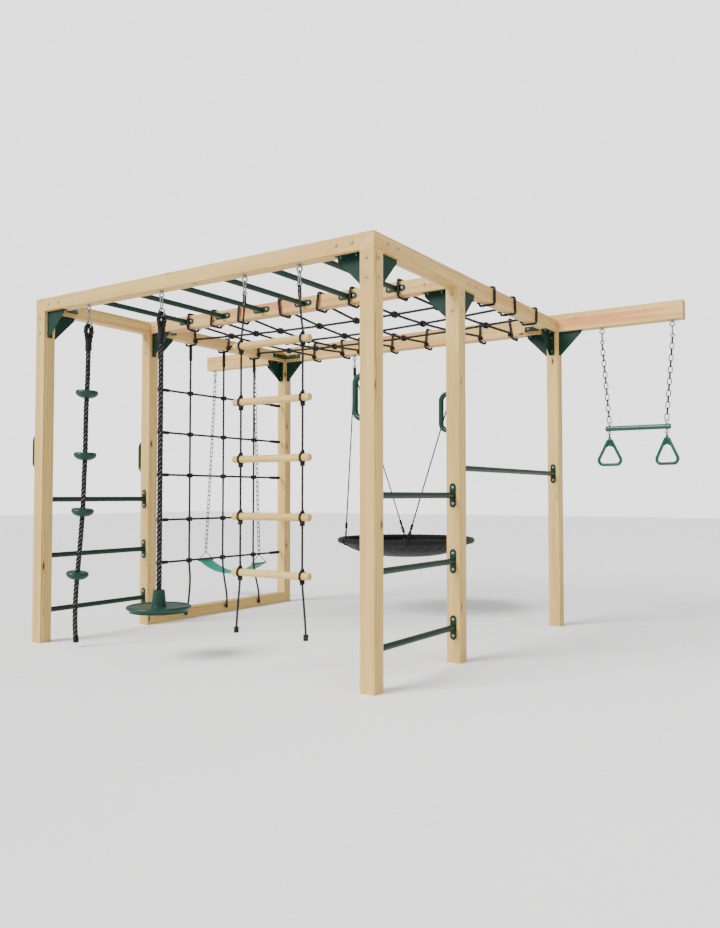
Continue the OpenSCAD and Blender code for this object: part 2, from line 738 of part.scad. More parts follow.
module disc_swing_rope() {
    top = long_drop + rope_over_ring;
    foot = seat_z + seat_t / 2 + 4;
    steps = 16;
    color(black) difference() {
        union() {
            swept_tube([for (i = [0:steps]) [disc_x, timber / 2, lerp(top, foot, i / steps)]], rope_d);
            translate([disc_x, timber / 2, seat_z + 6]) cylinder(h = foot - seat_z, d = rope_d - 2);
            translate([disc_x, timber / 2, seat_z + 2]) cylinder(h = seat_t / 2 - 2 - clear, d = 2 * rope_d);
        }
        at_eye(disc_eye) ring_room(long_link, ring_r);
    }
}
module disc_seat() {
    bore = rope_d / 2 + hang_gap;
    recess_r = rope_d + hang_gap;
    lip = 10;
    color(plastic_green) translate([disc_x, timber / 2, seat_z]) rotate_extrude($fn = 96) difference() {
        union() {
            square([seat_d / 2 - seat_t / 2, seat_t - 6]);
            translate([seat_d / 2 - lip, seat_t - lip]) circle(r = lip);
            polygon([
                [seat_d / 2 - seat_t, 0], [seat_d / 2 - lip, seat_t - 2 * lip], [seat_d / 2, seat_t - lip],
                [seat_d / 2 - lip, seat_t], [seat_d / 2 - 2 * lip - 6, seat_t - 6],
                    [seat_d / 2 - seat_t, seat_t - 6]
            ]);
            polygon([[0, seat_t - 7], [42, seat_t - 7], [40, seat_t], [32, seat_t + hub_h - 3],
                     [29, seat_t + hub_h], [0, seat_t + hub_h]]);
        }
        translate([-1, -1]) square([bore + 1, seat_t + hub_h + 2]);
        translate([-1, -1]) square([recess_r + 1, seat_t / 2 + 1]);
    }
}
module disc_swing_link() {
    color(zinc) at_eye(disc_eye) link_and_ring(long_link, ring_r);
}

// ---- rope ladder ----

// spliced end of a rope round its ring
module rope_sleeve(eye, d) {
    translate([eye[0], eye[1], short_drop - 52]) cylinder(h = 52 + rope_over_ring, d = d);
}

module ladder_rope(s) {
    eye = ladder_eyes[s < 0 ? 0 : 1];
    color(black) difference() {
        union() {
            swept_tube([for (p = ladder_route) [ladder_x + s * (ladder_rope_gap / 2 + p[0]), timber / 2,
                hung(p[1], short_drop, 1915)]], ladder_rope_d, 8);
            rope_sleeve(eye, 20);
        }
        at_eye(eye) ring_room(short_link, small_ring_r);
    }
}
module ladder_rope_left() { ladder_rope(-1); }
module ladder_rope_right() { ladder_rope(1); }

module ladder_rungs() {
    chamfer = 4;
    color(pine) for (z = rung_z) translate([ladder_x, timber / 2, z]) difference() {
        rotate([0, 90, 0]) union() {
            cylinder(h = rung_l - 2 * chamfer, d = rung_d, center = true);
            for (s = [0, 1]) mirror([0, 0, s]) translate([0, 0, rung_l / 2 - chamfer])
                cylinder(h = chamfer, d1 = rung_d, d2 = rung_d - 2 * chamfer);
        }
        for (s = [-1, 1]) translate([s * ladder_rope_gap / 2, 0, -rung_d])
            cylinder(h = 2 * rung_d, d = ladder_rope_d + 2 * hang_gap);
    }
}
module ladder_links() {
    color(zinc) for (eye = ladder_eyes) at_eye(eye) link_and_ring(short_link, small_ring_r);
}

// ---- belt swing ----

belt_curve_r = (pow(belt_span / 2, 2) + pow(belt_sag, 2)) / (2 * belt_sag);
belt_rod_z = belt_z + belt_t / 2 + 1;

module belt_seat() {
    color(teal) translate([belt_mid_x, rear_y + belt_w / 2, belt_z]) rotate([90, 0, 0])
        linear_extrude(belt_w)
        difference() {
            union() {
                intersection() {
                    translate([0, belt_curve_r - belt_sag]) difference() {
                        circle(r = belt_curve_r, $fn = 180);
                        circle(r = belt_curve_r - belt_t, $fn = 180);
                    }
                    translate([-belt_span / 2, -belt_sag]) square([belt_span, belt_sag + 1.6 * belt_t]);
                }
                for (s = [-1, 1]) translate([s * belt_span / 2, belt_rod_z - belt_z])
                    circle(d = belt_tube_d);
            }
            for (s = [-1, 1]) translate([s * belt_span / 2, belt_rod_z - belt_z])
                circle(d = belt_rod_d + 2 * hang_gap);
        }
}

// chains as plain rods of a chain's thickness, with the triangles that hold the belt
module belt_chains() {
    chain_d = 12;
    color(zinc) {
        for (eye = belt_eyes) at_eye(eye) link_and_ring(short_link, small_ring_r);
        for (s = [0, 1]) {
            side = s == 0 ? -1 : 1;
            top = [belt_eyes[s][0], rear_y, short_drop];
            low = [belt_mid_x + side * belt_span / 2, rear_y, belt_rod_z + 75];
            rod(top, low, chain_d);
            half = [0, belt_w / 2 + 25, 0];
            foot = [low[0], rear_y, belt_rod_z];
            rod(foot - half, foot + half, belt_rod_d);
            for (t = [-1, 1]) {
                rod(low, foot + t * half, belt_rod_d);
                translate(foot + t * half) sphere(d = belt_rod_d + 3);
            }
            translate(low) sphere(d = chain_d + 3);
        }
    }
}

// ---- nest swing ----

module at_nest() {
    translate([nest_x, rear_y, nest_z]) children();
}
module nest_ring() {
    color(green) at_nest() wire_ring(nest_r, nest_tube_d);
}

// fabric cover: a sleeve round the ring, and a mat that hangs below it
module nest_cover() {
    steps = 12;
    in_r = nest_tube_d / 2 + clear;
    wall = (in_r + cover_t / 2) * sin(45);
    edge = nest_r - wall;
    function mat_z(r) = -nest_depth + (nest_depth - wall) * pow(r / edge, 3);
    color(black) difference() {
        at_nest() difference() {
            union() {
                rotate_extrude($fn = 96) translate([nest_r, 0]) circle(r = nest_sleeve_r);
                rotate_extrude($fn = 96) polygon(concat(
                    [for (i = [0:steps]) let (r = edge * i / steps) [r, mat_z(r) + cover_t / 2]],
                    [for (i = [steps:-1:0]) let (r = edge * i / steps) [r, mat_z(r) - cover_t / 2]]
                ));
            }
            rotate_extrude($fn = 96) translate([nest_r, 0]) circle(r = in_r);
        }
        at_nest_loops() wire_ring(nest_loop_r, nest_rope_d + 2 * clear);
    }
}

// each rope ends in a loop round the ring and its sleeve
nest_loop_r = nest_sleeve_r + clear + nest_rope_d / 2;
nest_loop_angles = [
    nest_rope_angle, 180 - nest_rope_angle, 180 + nest_rope_angle, 360 - nest_rope_angle
];
module at_nest_loops() {
    for (a = nest_loop_angles) at_nest() rotate([0, 0, a]) translate([nest_r, 0, 0]) rotate([90, 0, 0])
        children();
}
function nest_hold(a) = [
    nest_x + nest_r * cos(a), rear_y + nest_r * sin(a), nest_z + nest_loop_r + nest_rope_d / 2 - 1
];

module nest_ropes() {
    color(black) difference() {
        union() {
            for (a = nest_loop_angles) {
                side = sin(a) < 0 ? -1 : 1;
                top = [nest_eyes[cos(a) < 0 ? 0 : 1][0], rear_y + side * (nest_rope_d / 2 + 1),
                    short_drop - 42];
                rod(top, nest_hold(a), nest_rope_d);
            }
            for (eye = nest_eyes) rope_sleeve(eye, 28);
            at_nest_loops() wire_ring(nest_loop_r, nest_rope_d);
        }
        for (eye = nest_eyes) at_eye(eye) ring_room(short_link, small_ring_r);
    }
}
module nest_links() {
    color(zinc) for (eye = nest_eyes) at_eye(eye) link_and_ring(short_link, small_ring_r);
}

// ---- trapeze ----

trapeze_eye_r = 9;
trapeze_wire = 6;
ring_pivot_z = trapeze_z - trapeze_d / 2 - 2 * trapeze_eye_r - trapeze_wire / 2 - 4;
upper_eye_z = trapeze_z + trapeze_d / 2 + trapeze_eye_r + trapeze_wire / 2 + 4;

module trapeze_bar() {
    color(green) translate([trapeze_mid_x, rear_y, trapeze_z]) difference() {
        union() {
            rotate([0, 90, 0]) cylinder(h = trapeze_l - 2 * 14, d = trapeze_d, center = true);
            for (s = [0, 1]) mirror([s, 0, 0]) translate([trapeze_l / 2 - 14, 0, 0]) rotate([0, 90, 0]) {
                cylinder(h = 10, d = trapeze_d + 3);
                translate([0, 0, 10]) cylinder(h = 4, d1 = trapeze_d + 3, d2 = trapeze_d - 5);
            }
        }
        for (s = [-1, 1]) translate([s * trapeze_bolt_gap / 2, 0, -trapeze_d])
            cylinder(h = 2 * trapeze_d, d = trapeze_wire + 1);
    }
}

// chains as plain rods, and the eye bolts through the bar
module trapeze_chains() {
    chain_d = 12;
    color(zinc) for (s = [0, 1]) {
        x = trapeze_mid_x + (s == 0 ? -1 : 1) * trapeze_bolt_gap / 2;
        at_eye(trapeze_eyes[s]) link_and_ring(short_link, small_ring_r);
        rod([trapeze_eyes[s][0], rear_y, short_drop], [x, rear_y, upper_eye_z + trapeze_eye_r], chain_d);
        for (t = [-1, 1]) translate([x, rear_y, trapeze_z + t * (trapeze_d / 2 + 2)])
            cylinder(h = 4, d = 14, center = true, $fn = 6);
        translate([x, rear_y, upper_eye_z]) rotate([90, 0, 0]) wire_ring(trapeze_eye_r, trapeze_wire);
        translate([x, rear_y, ring_pivot_z + trapeze_eye_r]) rotate([90, 0, 0])
            wire_ring(trapeze_eye_r, trapeze_wire);
        translate([x, rear_y, ring_pivot_z + 2 * trapeze_eye_r])
            cylinder(h = upper_eye_z - trapeze_eye_r - ring_pivot_z - 2 * trapeze_eye_r, d = trapeze_wire);
    }
}

// hand ring: three straight tubes joined by three bends, hanging in the XZ plane
ring_top_r = 16;
ring_low_r = 30;
ring_link_l = 12;
ring_link_r = trapeze_wire + hang_gap;

// the bends are a touch thicker than the straights, whose ends run into them
module ring_bend(r, angle) {
    rotate_extrude(angle = angle) translate([r, 0]) circle(d = ring_d + 1);
}

module hand_ring(turn) {
    lean = atan2(ring_w / 2, ring_h);
    side_l = norm([ring_w / 2, ring_h]);
    side = lean + asin((ring_low_r - ring_top_r) / side_l);
    straight = sqrt(side_l * side_l - pow(ring_low_r - ring_top_r, 2));
    tab_t = 4;
    hole_r = trapeze_wire / 2 + 1.4;
    hole_z = -ring_link_l - ring_link_r;
    top_z = hole_z - 6 - ring_top_r - ring_d / 2;
    rotate([90, 0, 90]) flat_link(ring_link_l, ring_link_r, trapeze_wire);
    rotate([0, 0, -turn]) translate([0, 0, top_z]) rotate([90, 0, 0]) {
        rotate([0, 0, side]) ring_bend(ring_top_r, 180 - 2 * side);
        for (s = [0, 1]) mirror([s, 0, 0]) {
            translate([ring_w / 2, -ring_h, 0]) rotate([0, 0, -90]) ring_bend(ring_low_r, 90 + side);
            rotate([0, 0, side]) translate([ring_top_r, 1, 0]) rotate([90, 0, 0])
                cylinder(h = straight + 2, d = ring_d);
        }
        translate([-ring_w / 2 - 1, -ring_h - ring_low_r, 0]) rotate([0, 90, 0])
            cylinder(h = ring_w + 2, d = ring_d);
        linear_extrude(tab_t, center = true) difference() {
            union() {
                translate([-9, 0]) square([18, hole_z - top_z]);
                translate([0, hole_z - top_z]) circle(r = 9);
                polygon([[-12, 0], [12, 0], [24, -32], [-24, -32]]);
            }
            translate([0, hole_z - top_z]) circle(r = hole_r);
            translate([0, -48]) circle(r = 24);
        }
    }
}
module hand_ring_left() {
    color(plastic_green) translate([trapeze_mid_x - trapeze_bolt_gap / 2, rear_y, ring_pivot_z])
        hand_ring(0);
}
module hand_ring_right() {
    color(plastic_green) translate([trapeze_mid_x + trapeze_bolt_gap / 2, rear_y, ring_pivot_z])
        hand_ring(right_ring_turn);
}

// ---- the nodes ----

placed() post_front_right();
placed() post_front_left();
placed() post_mid_left();
placed() post_mid_right();
placed() post_rear_right();
placed() post_rear_left();
placed() front_beam();
placed() mid_beam();
placed() rear_beam();
placed() right_side_beam();
placed() left_front_side_beam();
placed() left_rear_side_beam();
placed() ground_rail();
placed() monkey_bar(0);  // monkey_bar_1
placed() monkey_bar(1);  // monkey_bar_2
placed() monkey_bar(2);  // monkey_bar_3
placed() monkey_bar(3);  // monkey_bar_4
placed() monkey_bar(4);  // monkey_bar_5
placed() monkey_bar(5);  // monkey_bar_6
placed() right_ladder_bar(0);  // right_ladder_bar_1
placed() right_ladder_bar(1);  // right_ladder_bar_2
placed() right_ladder_bar(2);  // right_ladder_bar_3
placed() left_ladder_bar(0);  // left_ladder_bar_1
placed() left_ladder_bar(1);  // left_ladder_bar_2
placed() left_ladder_bar(2);  // left_ladder_bar_3
placed() high_side_bar();
placed() grip_front_right();
placed() grip_mid_right();
placed() grip_front_left();
placed() grip_mid_left();
placed() post_brackets();
placed() corner_brackets();
placed() bracket_nuts();
placed() frame_bolts();
placed() bar_bolts();
placed() hanger_eyes();
placed() overhead_net();
placed() net_lashings();
placed() wall_net();
placed() wall_net_eyes();
placed() climbing_rope();
placed() foot_discs();
placed() climbing_rope_link();
placed() disc_swing_rope();
placed() disc_seat();
placed() disc_swing_link();
placed() ladder_rope_left();
placed() ladder_rope_right();
placed() ladder_rungs();
placed() ladder_links();
placed() belt_seat();
placed() belt_chains();
placed() nest_ring();
placed() nest_cover();
placed() nest_ropes();
placed() nest_links();
placed() trapeze_bar();
placed() trapeze_chains();
placed() hand_ring_left();
placed() hand_ring_right();
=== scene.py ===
import math
import random

import bpy
import numpy as np
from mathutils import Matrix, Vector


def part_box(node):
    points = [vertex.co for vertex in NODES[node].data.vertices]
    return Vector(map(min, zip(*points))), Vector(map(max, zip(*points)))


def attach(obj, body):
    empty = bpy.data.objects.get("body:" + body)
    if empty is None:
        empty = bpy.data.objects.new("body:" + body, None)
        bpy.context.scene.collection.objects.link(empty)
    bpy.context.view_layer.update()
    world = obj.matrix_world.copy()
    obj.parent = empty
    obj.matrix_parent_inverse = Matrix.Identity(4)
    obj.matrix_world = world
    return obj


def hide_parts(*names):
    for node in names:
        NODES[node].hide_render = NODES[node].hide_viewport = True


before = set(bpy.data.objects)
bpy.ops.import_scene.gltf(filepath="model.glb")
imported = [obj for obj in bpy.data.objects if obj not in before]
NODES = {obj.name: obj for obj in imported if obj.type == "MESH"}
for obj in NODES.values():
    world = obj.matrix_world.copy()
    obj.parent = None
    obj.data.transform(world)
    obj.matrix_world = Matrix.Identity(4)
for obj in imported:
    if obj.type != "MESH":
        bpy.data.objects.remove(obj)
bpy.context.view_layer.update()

# the drawing's millimetres, as in part.scad, to the frame's metres
ORIGIN = np.array([1216.0, 1396.15, 0.0])


def P(*p):
    return (np.array(p, float) - ORIGIN) / 1000


# ---------------------------------------------------------------- camera
cam_data = bpy.data.cameras.new("camera")
cam_data.sensor_width = 36
cam_data.sensor_height = 36
cam_data.lens = 32.32
cam_data.clip_end = 100
cam = bpy.data.objects.new("camera", cam_data)
cam.location = P(4496.4, -3166.0, 895.3)
cam.rotation_euler = (math.pi / 2 + 0.0375, 0, 0.5842)
bpy.context.scene.collection.objects.link(cam)
bpy.context.scene.camera = cam

# ---------------------------------------------------------------- sizes, in mm
POST_H = 2025.0
TIMBER = 80.0
MID_BACK = 930.0
REAR_Y = 2400.0
CLEAR = 0.3
SWING_Z = 1985.0
SHORT_RING = 1915.0
RIGHT_X = 2400.0
REAR_BEAM_H = 120
NET_D = 14.0
NET_LAID = 0.0172
NET_LAY = 0.040
ROPE_STEP = 0.005
LASH = NET_D + CLEAR
# what hangs from the front beam: its line in Y, and each hanger's X
FRONT_Y = 40
CLIMB_X = 448
DISC_X = 1062
LADDER_X = 1845
LADDER_HALF = 198
FREE_ROPE_D = 31
LADDER_ROPE_D = 12
NEST_HOOKS = (765, 1715)

CLIMB = [
    (0, 1757), (-2, 1650), (-6, 1541), (-12, 1441), (-15, 1355), (-16, 1270),
    (-17, 1174), (-21, 1074), (-25, 1000), (-28, 920), (-31, 843), (-40, 743), (-48, 660),
    (-58, 570), (-70, 470), (-82, 370), (-89, 280), (-92, 190), (-89, 100), (-80, 30),
]
LADDER = [
    (-21, 1924), (-18, 1850), (-9, 1760), (0, 1690), (0, 1600), (0, 1400), (0, 1200), (0, 1000),
    (0, 800), (0, 600), (0, 480), (8, 390), (18, 290), (24, 200),
]
RUNG_Z = [1658, 1370, 1078, 788, 505]
WALL_Z = [1650, 1345, 1042, 720, 417]
LEFT_Y = [1287, 1646, 2005]
RIGHT_Y = [1297, 1598, 1950]
REAR_X = [392, 675, 840, 1149, 1451, 1899, 2134]
MID_X = [462.5, 674.5, 910.5, 1248.5, 1542.5, 1778.5, 2107.5]
TAILS = [
    [(60, 1278, 280), (94, 1230, 130), (95, 1205, 30)],
    [(60, 1640, 280), (94, 1636, 130), (95, 1632, 35)],
    [(60, 2002, 280), (94, 2008, 130), (95, 2014, 30)],
]


# ---------------------------------------------------------------- node materials
def add(tree, kind, ins=None, **props):
    n = tree.nodes.new(kind)
    for k, v in props.items():
        setattr(n, k, v)
    for k, v in (ins or {}).items():
        sock = n.inputs[k]
        if isinstance(v, bpy.types.NodeSocket):
            tree.links.new(v, sock)
        else:
            sock.default_value = v
    return n


def maths(tree, op, a, b=0.0, clamp=False):
    n = tree.nodes.new("ShaderNodeMath")
    n.operation = op
    n.use_clamp = clamp
    for i, v in enumerate((a, b)):
        if isinstance(v, bpy.types.NodeSocket):
            tree.links.new(v, n.inputs[i])
        else:
            n.inputs[i].default_value = v
    return n.outputs[0]


def mix(tree, fac, a, b, how="MIX"):
    n = tree.nodes.new("ShaderNodeMix")
    n.data_type = "RGBA"
    n.blend_type = how
    for i, v in ((0, fac), (6, a), (7, b)):
        if isinstance(v, bpy.types.NodeSocket):
            tree.links.new(v, n.inputs[i])
        else:
            n.inputs[i].default_value = v if i == 0 else (*v, 1)
    return n.outputs[2]


def ramp(tree, fac, lo, hi):
    n = tree.nodes.new("ShaderNodeMapRange")
    n.interpolation_type = "SMOOTHSTEP"
    tree.links.new(fac, n.inputs[0])
    n.inputs[1].default_value = lo
    n.inputs[2].default_value = hi
    return n.outputs[0]


def noise(tree, vec, scale, detail=3.0, rough=0.5):
    n = add(tree, "ShaderNodeTexNoise", {"Vector": vec, "Scale": scale, "Detail": detail, "Roughness": rough})
    return n.outputs["Fac"]


def scaled(tree, vec, s):
    n = tree.nodes.new("ShaderNodeVectorMath")
    n.operation = "MULTIPLY"
    tree.links.new(vec, n.inputs[0])
    n.inputs[1].default_value = s
    return n.outputs[0]


def group(name, ins, outs):
    g = bpy.data.node_groups.new(name, "ShaderNodeTree")
    for n, kind, value in ins:
        s = g.interface.new_socket(n, in_out="INPUT", socket_type=kind)
        if value is not None:
            s.default_value = value
    for n, kind in outs:
        g.interface.new_socket(n, in_out="OUTPUT", socket_type=kind)
    return g, g.nodes.new("NodeGroupInput").outputs, g.nodes.new("NodeGroupOutput").inputs


def use(tree, g, ins):
    n = tree.nodes.new("ShaderNodeGroup")
    n.node_tree = g
    for k, v in ins.items():
        if isinstance(v, bpy.types.NodeSocket):
            tree.links.new(v, n.inputs[k])
        else:
            n.inputs[k].default_value = v
    return n.outputs


def pine_group():
    """Pine with the grain along Z of its vector: growth rings, fibres, streaks and knots."""
    g, i, o = group(
        "pine_figure",
        [("Vector", "NodeSocketVector", None), ("Streaks", "NodeSocketFloat", 0.4),
         ("Knots", "NodeSocketFloat", 0.5)],
        [("Color", "NodeSocketColor"), ("Roughness", "NodeSocketFloat"), ("Normal", "NodeSocketVector")],
    )
    v = i["Vector"]
    warp = noise(g, scaled(g, v, (5, 5, 0.9)), 1.0, 3.0)
    knot_cells = add(g, "ShaderNodeTexVoronoi",
                     {"Vector": scaled(g, v, (15, 15, 5.5)), "Scale": 1.0, "Randomness": 1.0})
    rare = add(g, "ShaderNodeSeparateColor", {"Color": knot_cells.outputs["Color"]}).outputs[0]
    chosen = maths(g, "LESS_THAN", rare, i["Knots"])
    wobble = noise(g, v, 60.0, 2.0)
    dist = maths(g, "ADD", knot_cells.outputs["Distance"], maths(g, "MULTIPLY", wobble, 0.06))
    near = maths(g, "MULTIPLY", maths(g, "SUBTRACT", 1.0, ramp(g, dist, 0.08, 0.36)), chosen)
    heart = maths(g, "MULTIPLY", maths(g, "SUBTRACT", 1.0, ramp(g, dist, 0.100, 0.190)), chosen)
    xyz = add(g, "ShaderNodeSeparateXYZ", {"Vector": v}).outputs
    x = maths(g, "ADD", xyz[0], maths(g, "MULTIPLY", warp, 0.035))
    y = maths(g, "ADD", xyz[1], maths(g, "MULTIPLY", near, 0.012))
    r = maths(g, "SQRT", maths(g, "ADD", maths(g, "MULTIPLY", x, x), maths(g, "MULTIPLY", y, y)))
    rings = maths(g, "ADD", maths(g, "MULTIPLY", maths(g, "SINE", maths(g, "MULTIPLY", r, 1100.0)), 0.5), 0.5)
    late = maths(g, "POWER", rings, 2.4)
    fibre = noise(g, scaled(g, v, (420, 420, 9)), 1.0, 3.0, 0.6)
    broad = noise(g, scaled(g, v, (16, 16, 0.8)), 1.0, 2.0)
    stripes = ramp(g, noise(g, scaled(g, v, (30, 30, 0.7)), 1.0, 2.0), 0.42, 0.64)
    streak = maths(g, "MULTIPLY", stripes, i["Streaks"])
    c = mix(g, maths(g, "MULTIPLY", late, 0.85), (0.62, 0.43, 0.130), (0.34, 0.190, 0.040))
    c = mix(g, maths(g, "MULTIPLY", ramp(g, broad, 0.35, 0.65), 0.55), c, (0.70, 0.53, 0.20))
    c = mix(g, streak, c, (0.58, 0.22, 0.075))
    c = mix(g, maths(g, "MULTIPLY", ramp(g, fibre, 0.35, 0.75), 0.34), c, (0.28, 0.15, 0.045))
    c = mix(g, maths(g, "MULTIPLY", near, 0.45), c, (0.30, 0.12, 0.035))
    c = mix(g, maths(g, "MULTIPLY", heart, 0.92), c, (0.035, 0.014, 0.006))
    g.links.new(c, o["Color"])
    g.links.new(maths(g, "ADD", maths(g, "MULTIPLY", fibre, 0.25), 0.50), o["Roughness"])
    height = maths(g, "ADD", maths(g, "MULTIPLY", fibre, 0.7), maths(g, "MULTIPLY", late, 0.3))
    bump = add(g, "ShaderNodeBump", {"Strength": 0.35, "Distance": 0.0012, "Height": height})
    g.links.new(bump.outputs[0], o["Normal"])
    return g


def coat_group():
    """A painted or moulded surface: slight orange peel, faded patches, scuffs and dust."""
    g, i, o = group(
        "coat",
        [("Vector", "NodeSocketVector", None), ("Color", "NodeSocketColor", None),
         ("Worn", "NodeSocketColor", None),
         ("Grain", "NodeSocketFloat", 300.0), ("Roughness", "NodeSocketFloat", 0.4)],
        [("Color", "NodeSocketColor"), ("Roughness", "NodeSocketFloat"), ("Normal", "NodeSocketVector")],
    )
    v = i["Vector"]
    patch = noise(g, v, 7.0, 4.0)
    scuff = ramp(g, noise(g, scaled(g, v, (1, 1, 0.35)), 95.0, 5.0, 0.7), 0.60, 0.74)
    fade = maths(g, "MULTIPLY", ramp(g, patch, 0.4, 0.7), 0.20)
    c = mix(g, maths(g, "ADD", fade, maths(g, "MULTIPLY", scuff, 0.08)), i["Color"], i["Worn"])
    g.links.new(c, o["Color"])
    rough = maths(g, "ADD", i["Roughness"], maths(g, "MULTIPLY", maths(g, "ADD", patch, scuff), 0.12))
    g.links.new(rough, o["Roughness"])
    peel = add(g, "ShaderNodeTexNoise", {"Vector": v, "Scale": i["Grain"], "Detail": 2.0}).outputs["Fac"]
    bump = add(g, "ShaderNodeBump", {"Strength": 0.05, "Distance": 0.0002, "Height": peel})
    g.links.new(bump.outputs[0], o["Normal"])
    return g


def rope_group():
    """Twisted fibres of one strand, from its UV: U runs along the strand, V round it, with a painted
    highlight as a thin light grey line at one place round each strand.
    """
    g, i, o = group(
        "rope_strand",
        [("Vector", "NodeSocketVector", None), ("UV", "NodeSocketVector", None),
         ("PaintedHighlight", "NodeSocketFloat", 1.0)],
        [("Color", "NodeSocketColor"), ("Roughness", "NodeSocketFloat"), ("Normal", "NodeSocketVector")],
    )
    uv = add(g, "ShaderNodeSeparateXYZ", {"Vector": i["UV"]}).outputs
    turn = maths(g, "ADD", maths(g, "MULTIPLY", uv[1], 14.0), maths(g, "MULTIPLY", uv[0], 5.0))
    wave = maths(g, "SINE", maths(g, "MULTIPLY", turn, 6.2832))
    yarn = maths(g, "ADD", maths(g, "MULTIPLY", wave, 0.5), 0.5)
    fuzz = noise(g, i["Vector"], 900.0, 2.0)
    # painted highlight: a thin light grey line at V 0.16 round each strand, broken up by noise and scaled by
    # the group's highlight input
    edge = maths(g, "ABSOLUTE", maths(g, "SUBTRACT", uv[1], 0.16))
    line = maths(g, "SUBTRACT", 1.0, ramp(g, edge, 0.015, 0.06))
    broken = maths(g, "MULTIPLY", line, ramp(g, noise(g, i["Vector"], 70.0, 2.0), 0.35, 0.55))
    c = mix(g, maths(g, "MULTIPLY", fuzz, 0.6), (0.0015, 0.0015, 0.0018), (0.009, 0.009, 0.010))
    c = mix(g, maths(g, "MULTIPLY", broken, maths(g, "MULTIPLY", i["PaintedHighlight"], 0.75)), c, (0.22, 0.22, 0.21))
    g.links.new(c, o["Color"])
    g.links.new(maths(g, "ADD", maths(g, "MULTIPLY", fuzz, 0.3), 0.42), o["Roughness"])
    height = maths(g, "ADD", yarn, maths(g, "MULTIPLY", fuzz, 0.4))
    bump = add(g, "ShaderNodeBump", {"Strength": 0.6, "Distance": 0.0008, "Height": height})
    g.links.new(bump.outputs[0], o["Normal"])
    return g


def zinc_group():
    """Zinc plating: spangled crystals, dull patches and a slight unevenness."""
    g, i, o = group(
        "zinc_plate",
        [("Vector", "NodeSocketVector", None), ("Color", "NodeSocketColor", None),
         ("Dark", "NodeSocketColor", None), ("Dull", "NodeSocketColor", None),
         ("Roughness", "NodeSocketFloat", 0.3)],
        [("Color", "NodeSocketColor"), ("Roughness", "NodeSocketFloat"), ("Normal", "NodeSocketVector")],
    )
    v = i["Vector"]
    cells = add(g, "ShaderNodeTexVoronoi", {"Vector": v, "Scale": 260.0})
    shade = add(g, "ShaderNodeSeparateColor", {"Color": cells.outputs["Color"]}).outputs[0]
    dull = noise(g, v, 45.0, 4.0)
    c = mix(g, maths(g, "MULTIPLY", shade, 0.35), i["Color"], i["Dark"])
    c = mix(g, maths(g, "MULTIPLY", ramp(g, dull, 0.5, 0.75), 0.35), c, i["Dull"])
    g.links.new(c, o["Color"])
    g.links.new(maths(g, "ADD", maths(g, "MULTIPLY", dull, 0.25), i["Roughness"]), o["Roughness"])
    bump = add(g, "ShaderNodeBump", {"Strength": 0.1, "Distance": 0.0004, "Height": dull})
    g.links.new(bump.outputs[0], o["Normal"])
    return g


PINE = pine_group()
COAT = coat_group()
ROPE = rope_group()
ZINC = zinc_group()


def material(name):
    m = bpy.data.materials.new(name)
    m.use_nodes = True
    t = m.node_tree
    shader = t.nodes["Principled BSDF"]
    where = t.nodes.new("ShaderNodeTexCoord")
    return m, t, shader, where.outputs["Object"]


def finish_with(t, shader, outs):
    for n, target in (("Color", "Base Color"), ("Roughness", "Roughness"), ("Normal", "Normal")):
        t.links.new(outs[n], shader.inputs[target])


def pine(node, along, seed, streaks, knots):
    """Pine for one timber, sawn with its pith a little outside the section."""
    m, t, shader, obj = material("pine_" + node)
    turn = {"Z": (0, 0, 0), "X": (0, math.pi / 2, 0), "Y": (math.pi / 2, 0, 0)}[along]
    rnd = random.Random(seed)
    shift = (rnd.uniform(0.02, 0.07), rnd.uniform(0.01, 0.06), rnd.uniform(1, 9))
    middle = (np.array(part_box(node)[0]) + np.array(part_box(node)[1])) / 2
    centred = add(t, "ShaderNodeVectorMath", {0: obj, 1: tuple(middle)}, operation="SUBTRACT")
    spin = add(t, "ShaderNodeMapping", {"Vector": centred.outputs[0], "Rotation": turn})
    moved = add(t, "ShaderNodeVectorMath", {0: spin.outputs[0], 1: shift}, operation="ADD")
    finish_with(t, shader, use(t, PINE, {"Vector": moved.outputs[0], "Streaks": streaks, "Knots": knots}))
    shader.inputs["Specular IOR Level"].default_value = 0.35
    return m


def coated(name, color, worn, rough, grain=300.0, metal=0.0, coat=0.0):
    m, t, shader, obj = material(name)
    outs = use(t, COAT, {
        "Vector": obj, "Color": (*color, 1), "Worn": (*worn, 1), "Grain": grain, "Roughness": rough})
    finish_with(t, shader, outs)
    shader.inputs["Metallic"].default_value = metal
    shader.inputs["Specular IOR Level"].default_value = 0.22
    shader.inputs["Coat Weight"].default_value = coat
    shader.inputs["Coat Roughness"].default_value = 0.25
    return m


def zinc(name, color, rough):
    m, t, shader, obj = material(name)
    dark, dull = ((*(part * v for v in color), 1) for part in (0.55, 0.75))
    finish_with(t, shader, use(t, ZINC, {
        "Vector": obj, "Color": (*color, 1), "Dark": dark, "Dull": dull, "Roughness": rough}))
    shader.inputs["Metallic"].default_value = 0.9
    return m


def rope_material(name, painted_highlight):
    m, t, shader, obj = material(name)
    uv = t.nodes.new("ShaderNodeTexCoord").outputs["UV"]
    finish_with(t, shader, use(t, ROPE, {"Vector": obj, "UV": uv, "PaintedHighlight": painted_highlight}))
    shader.inputs["Specular IOR Level"].default_value = 0.2
    return m


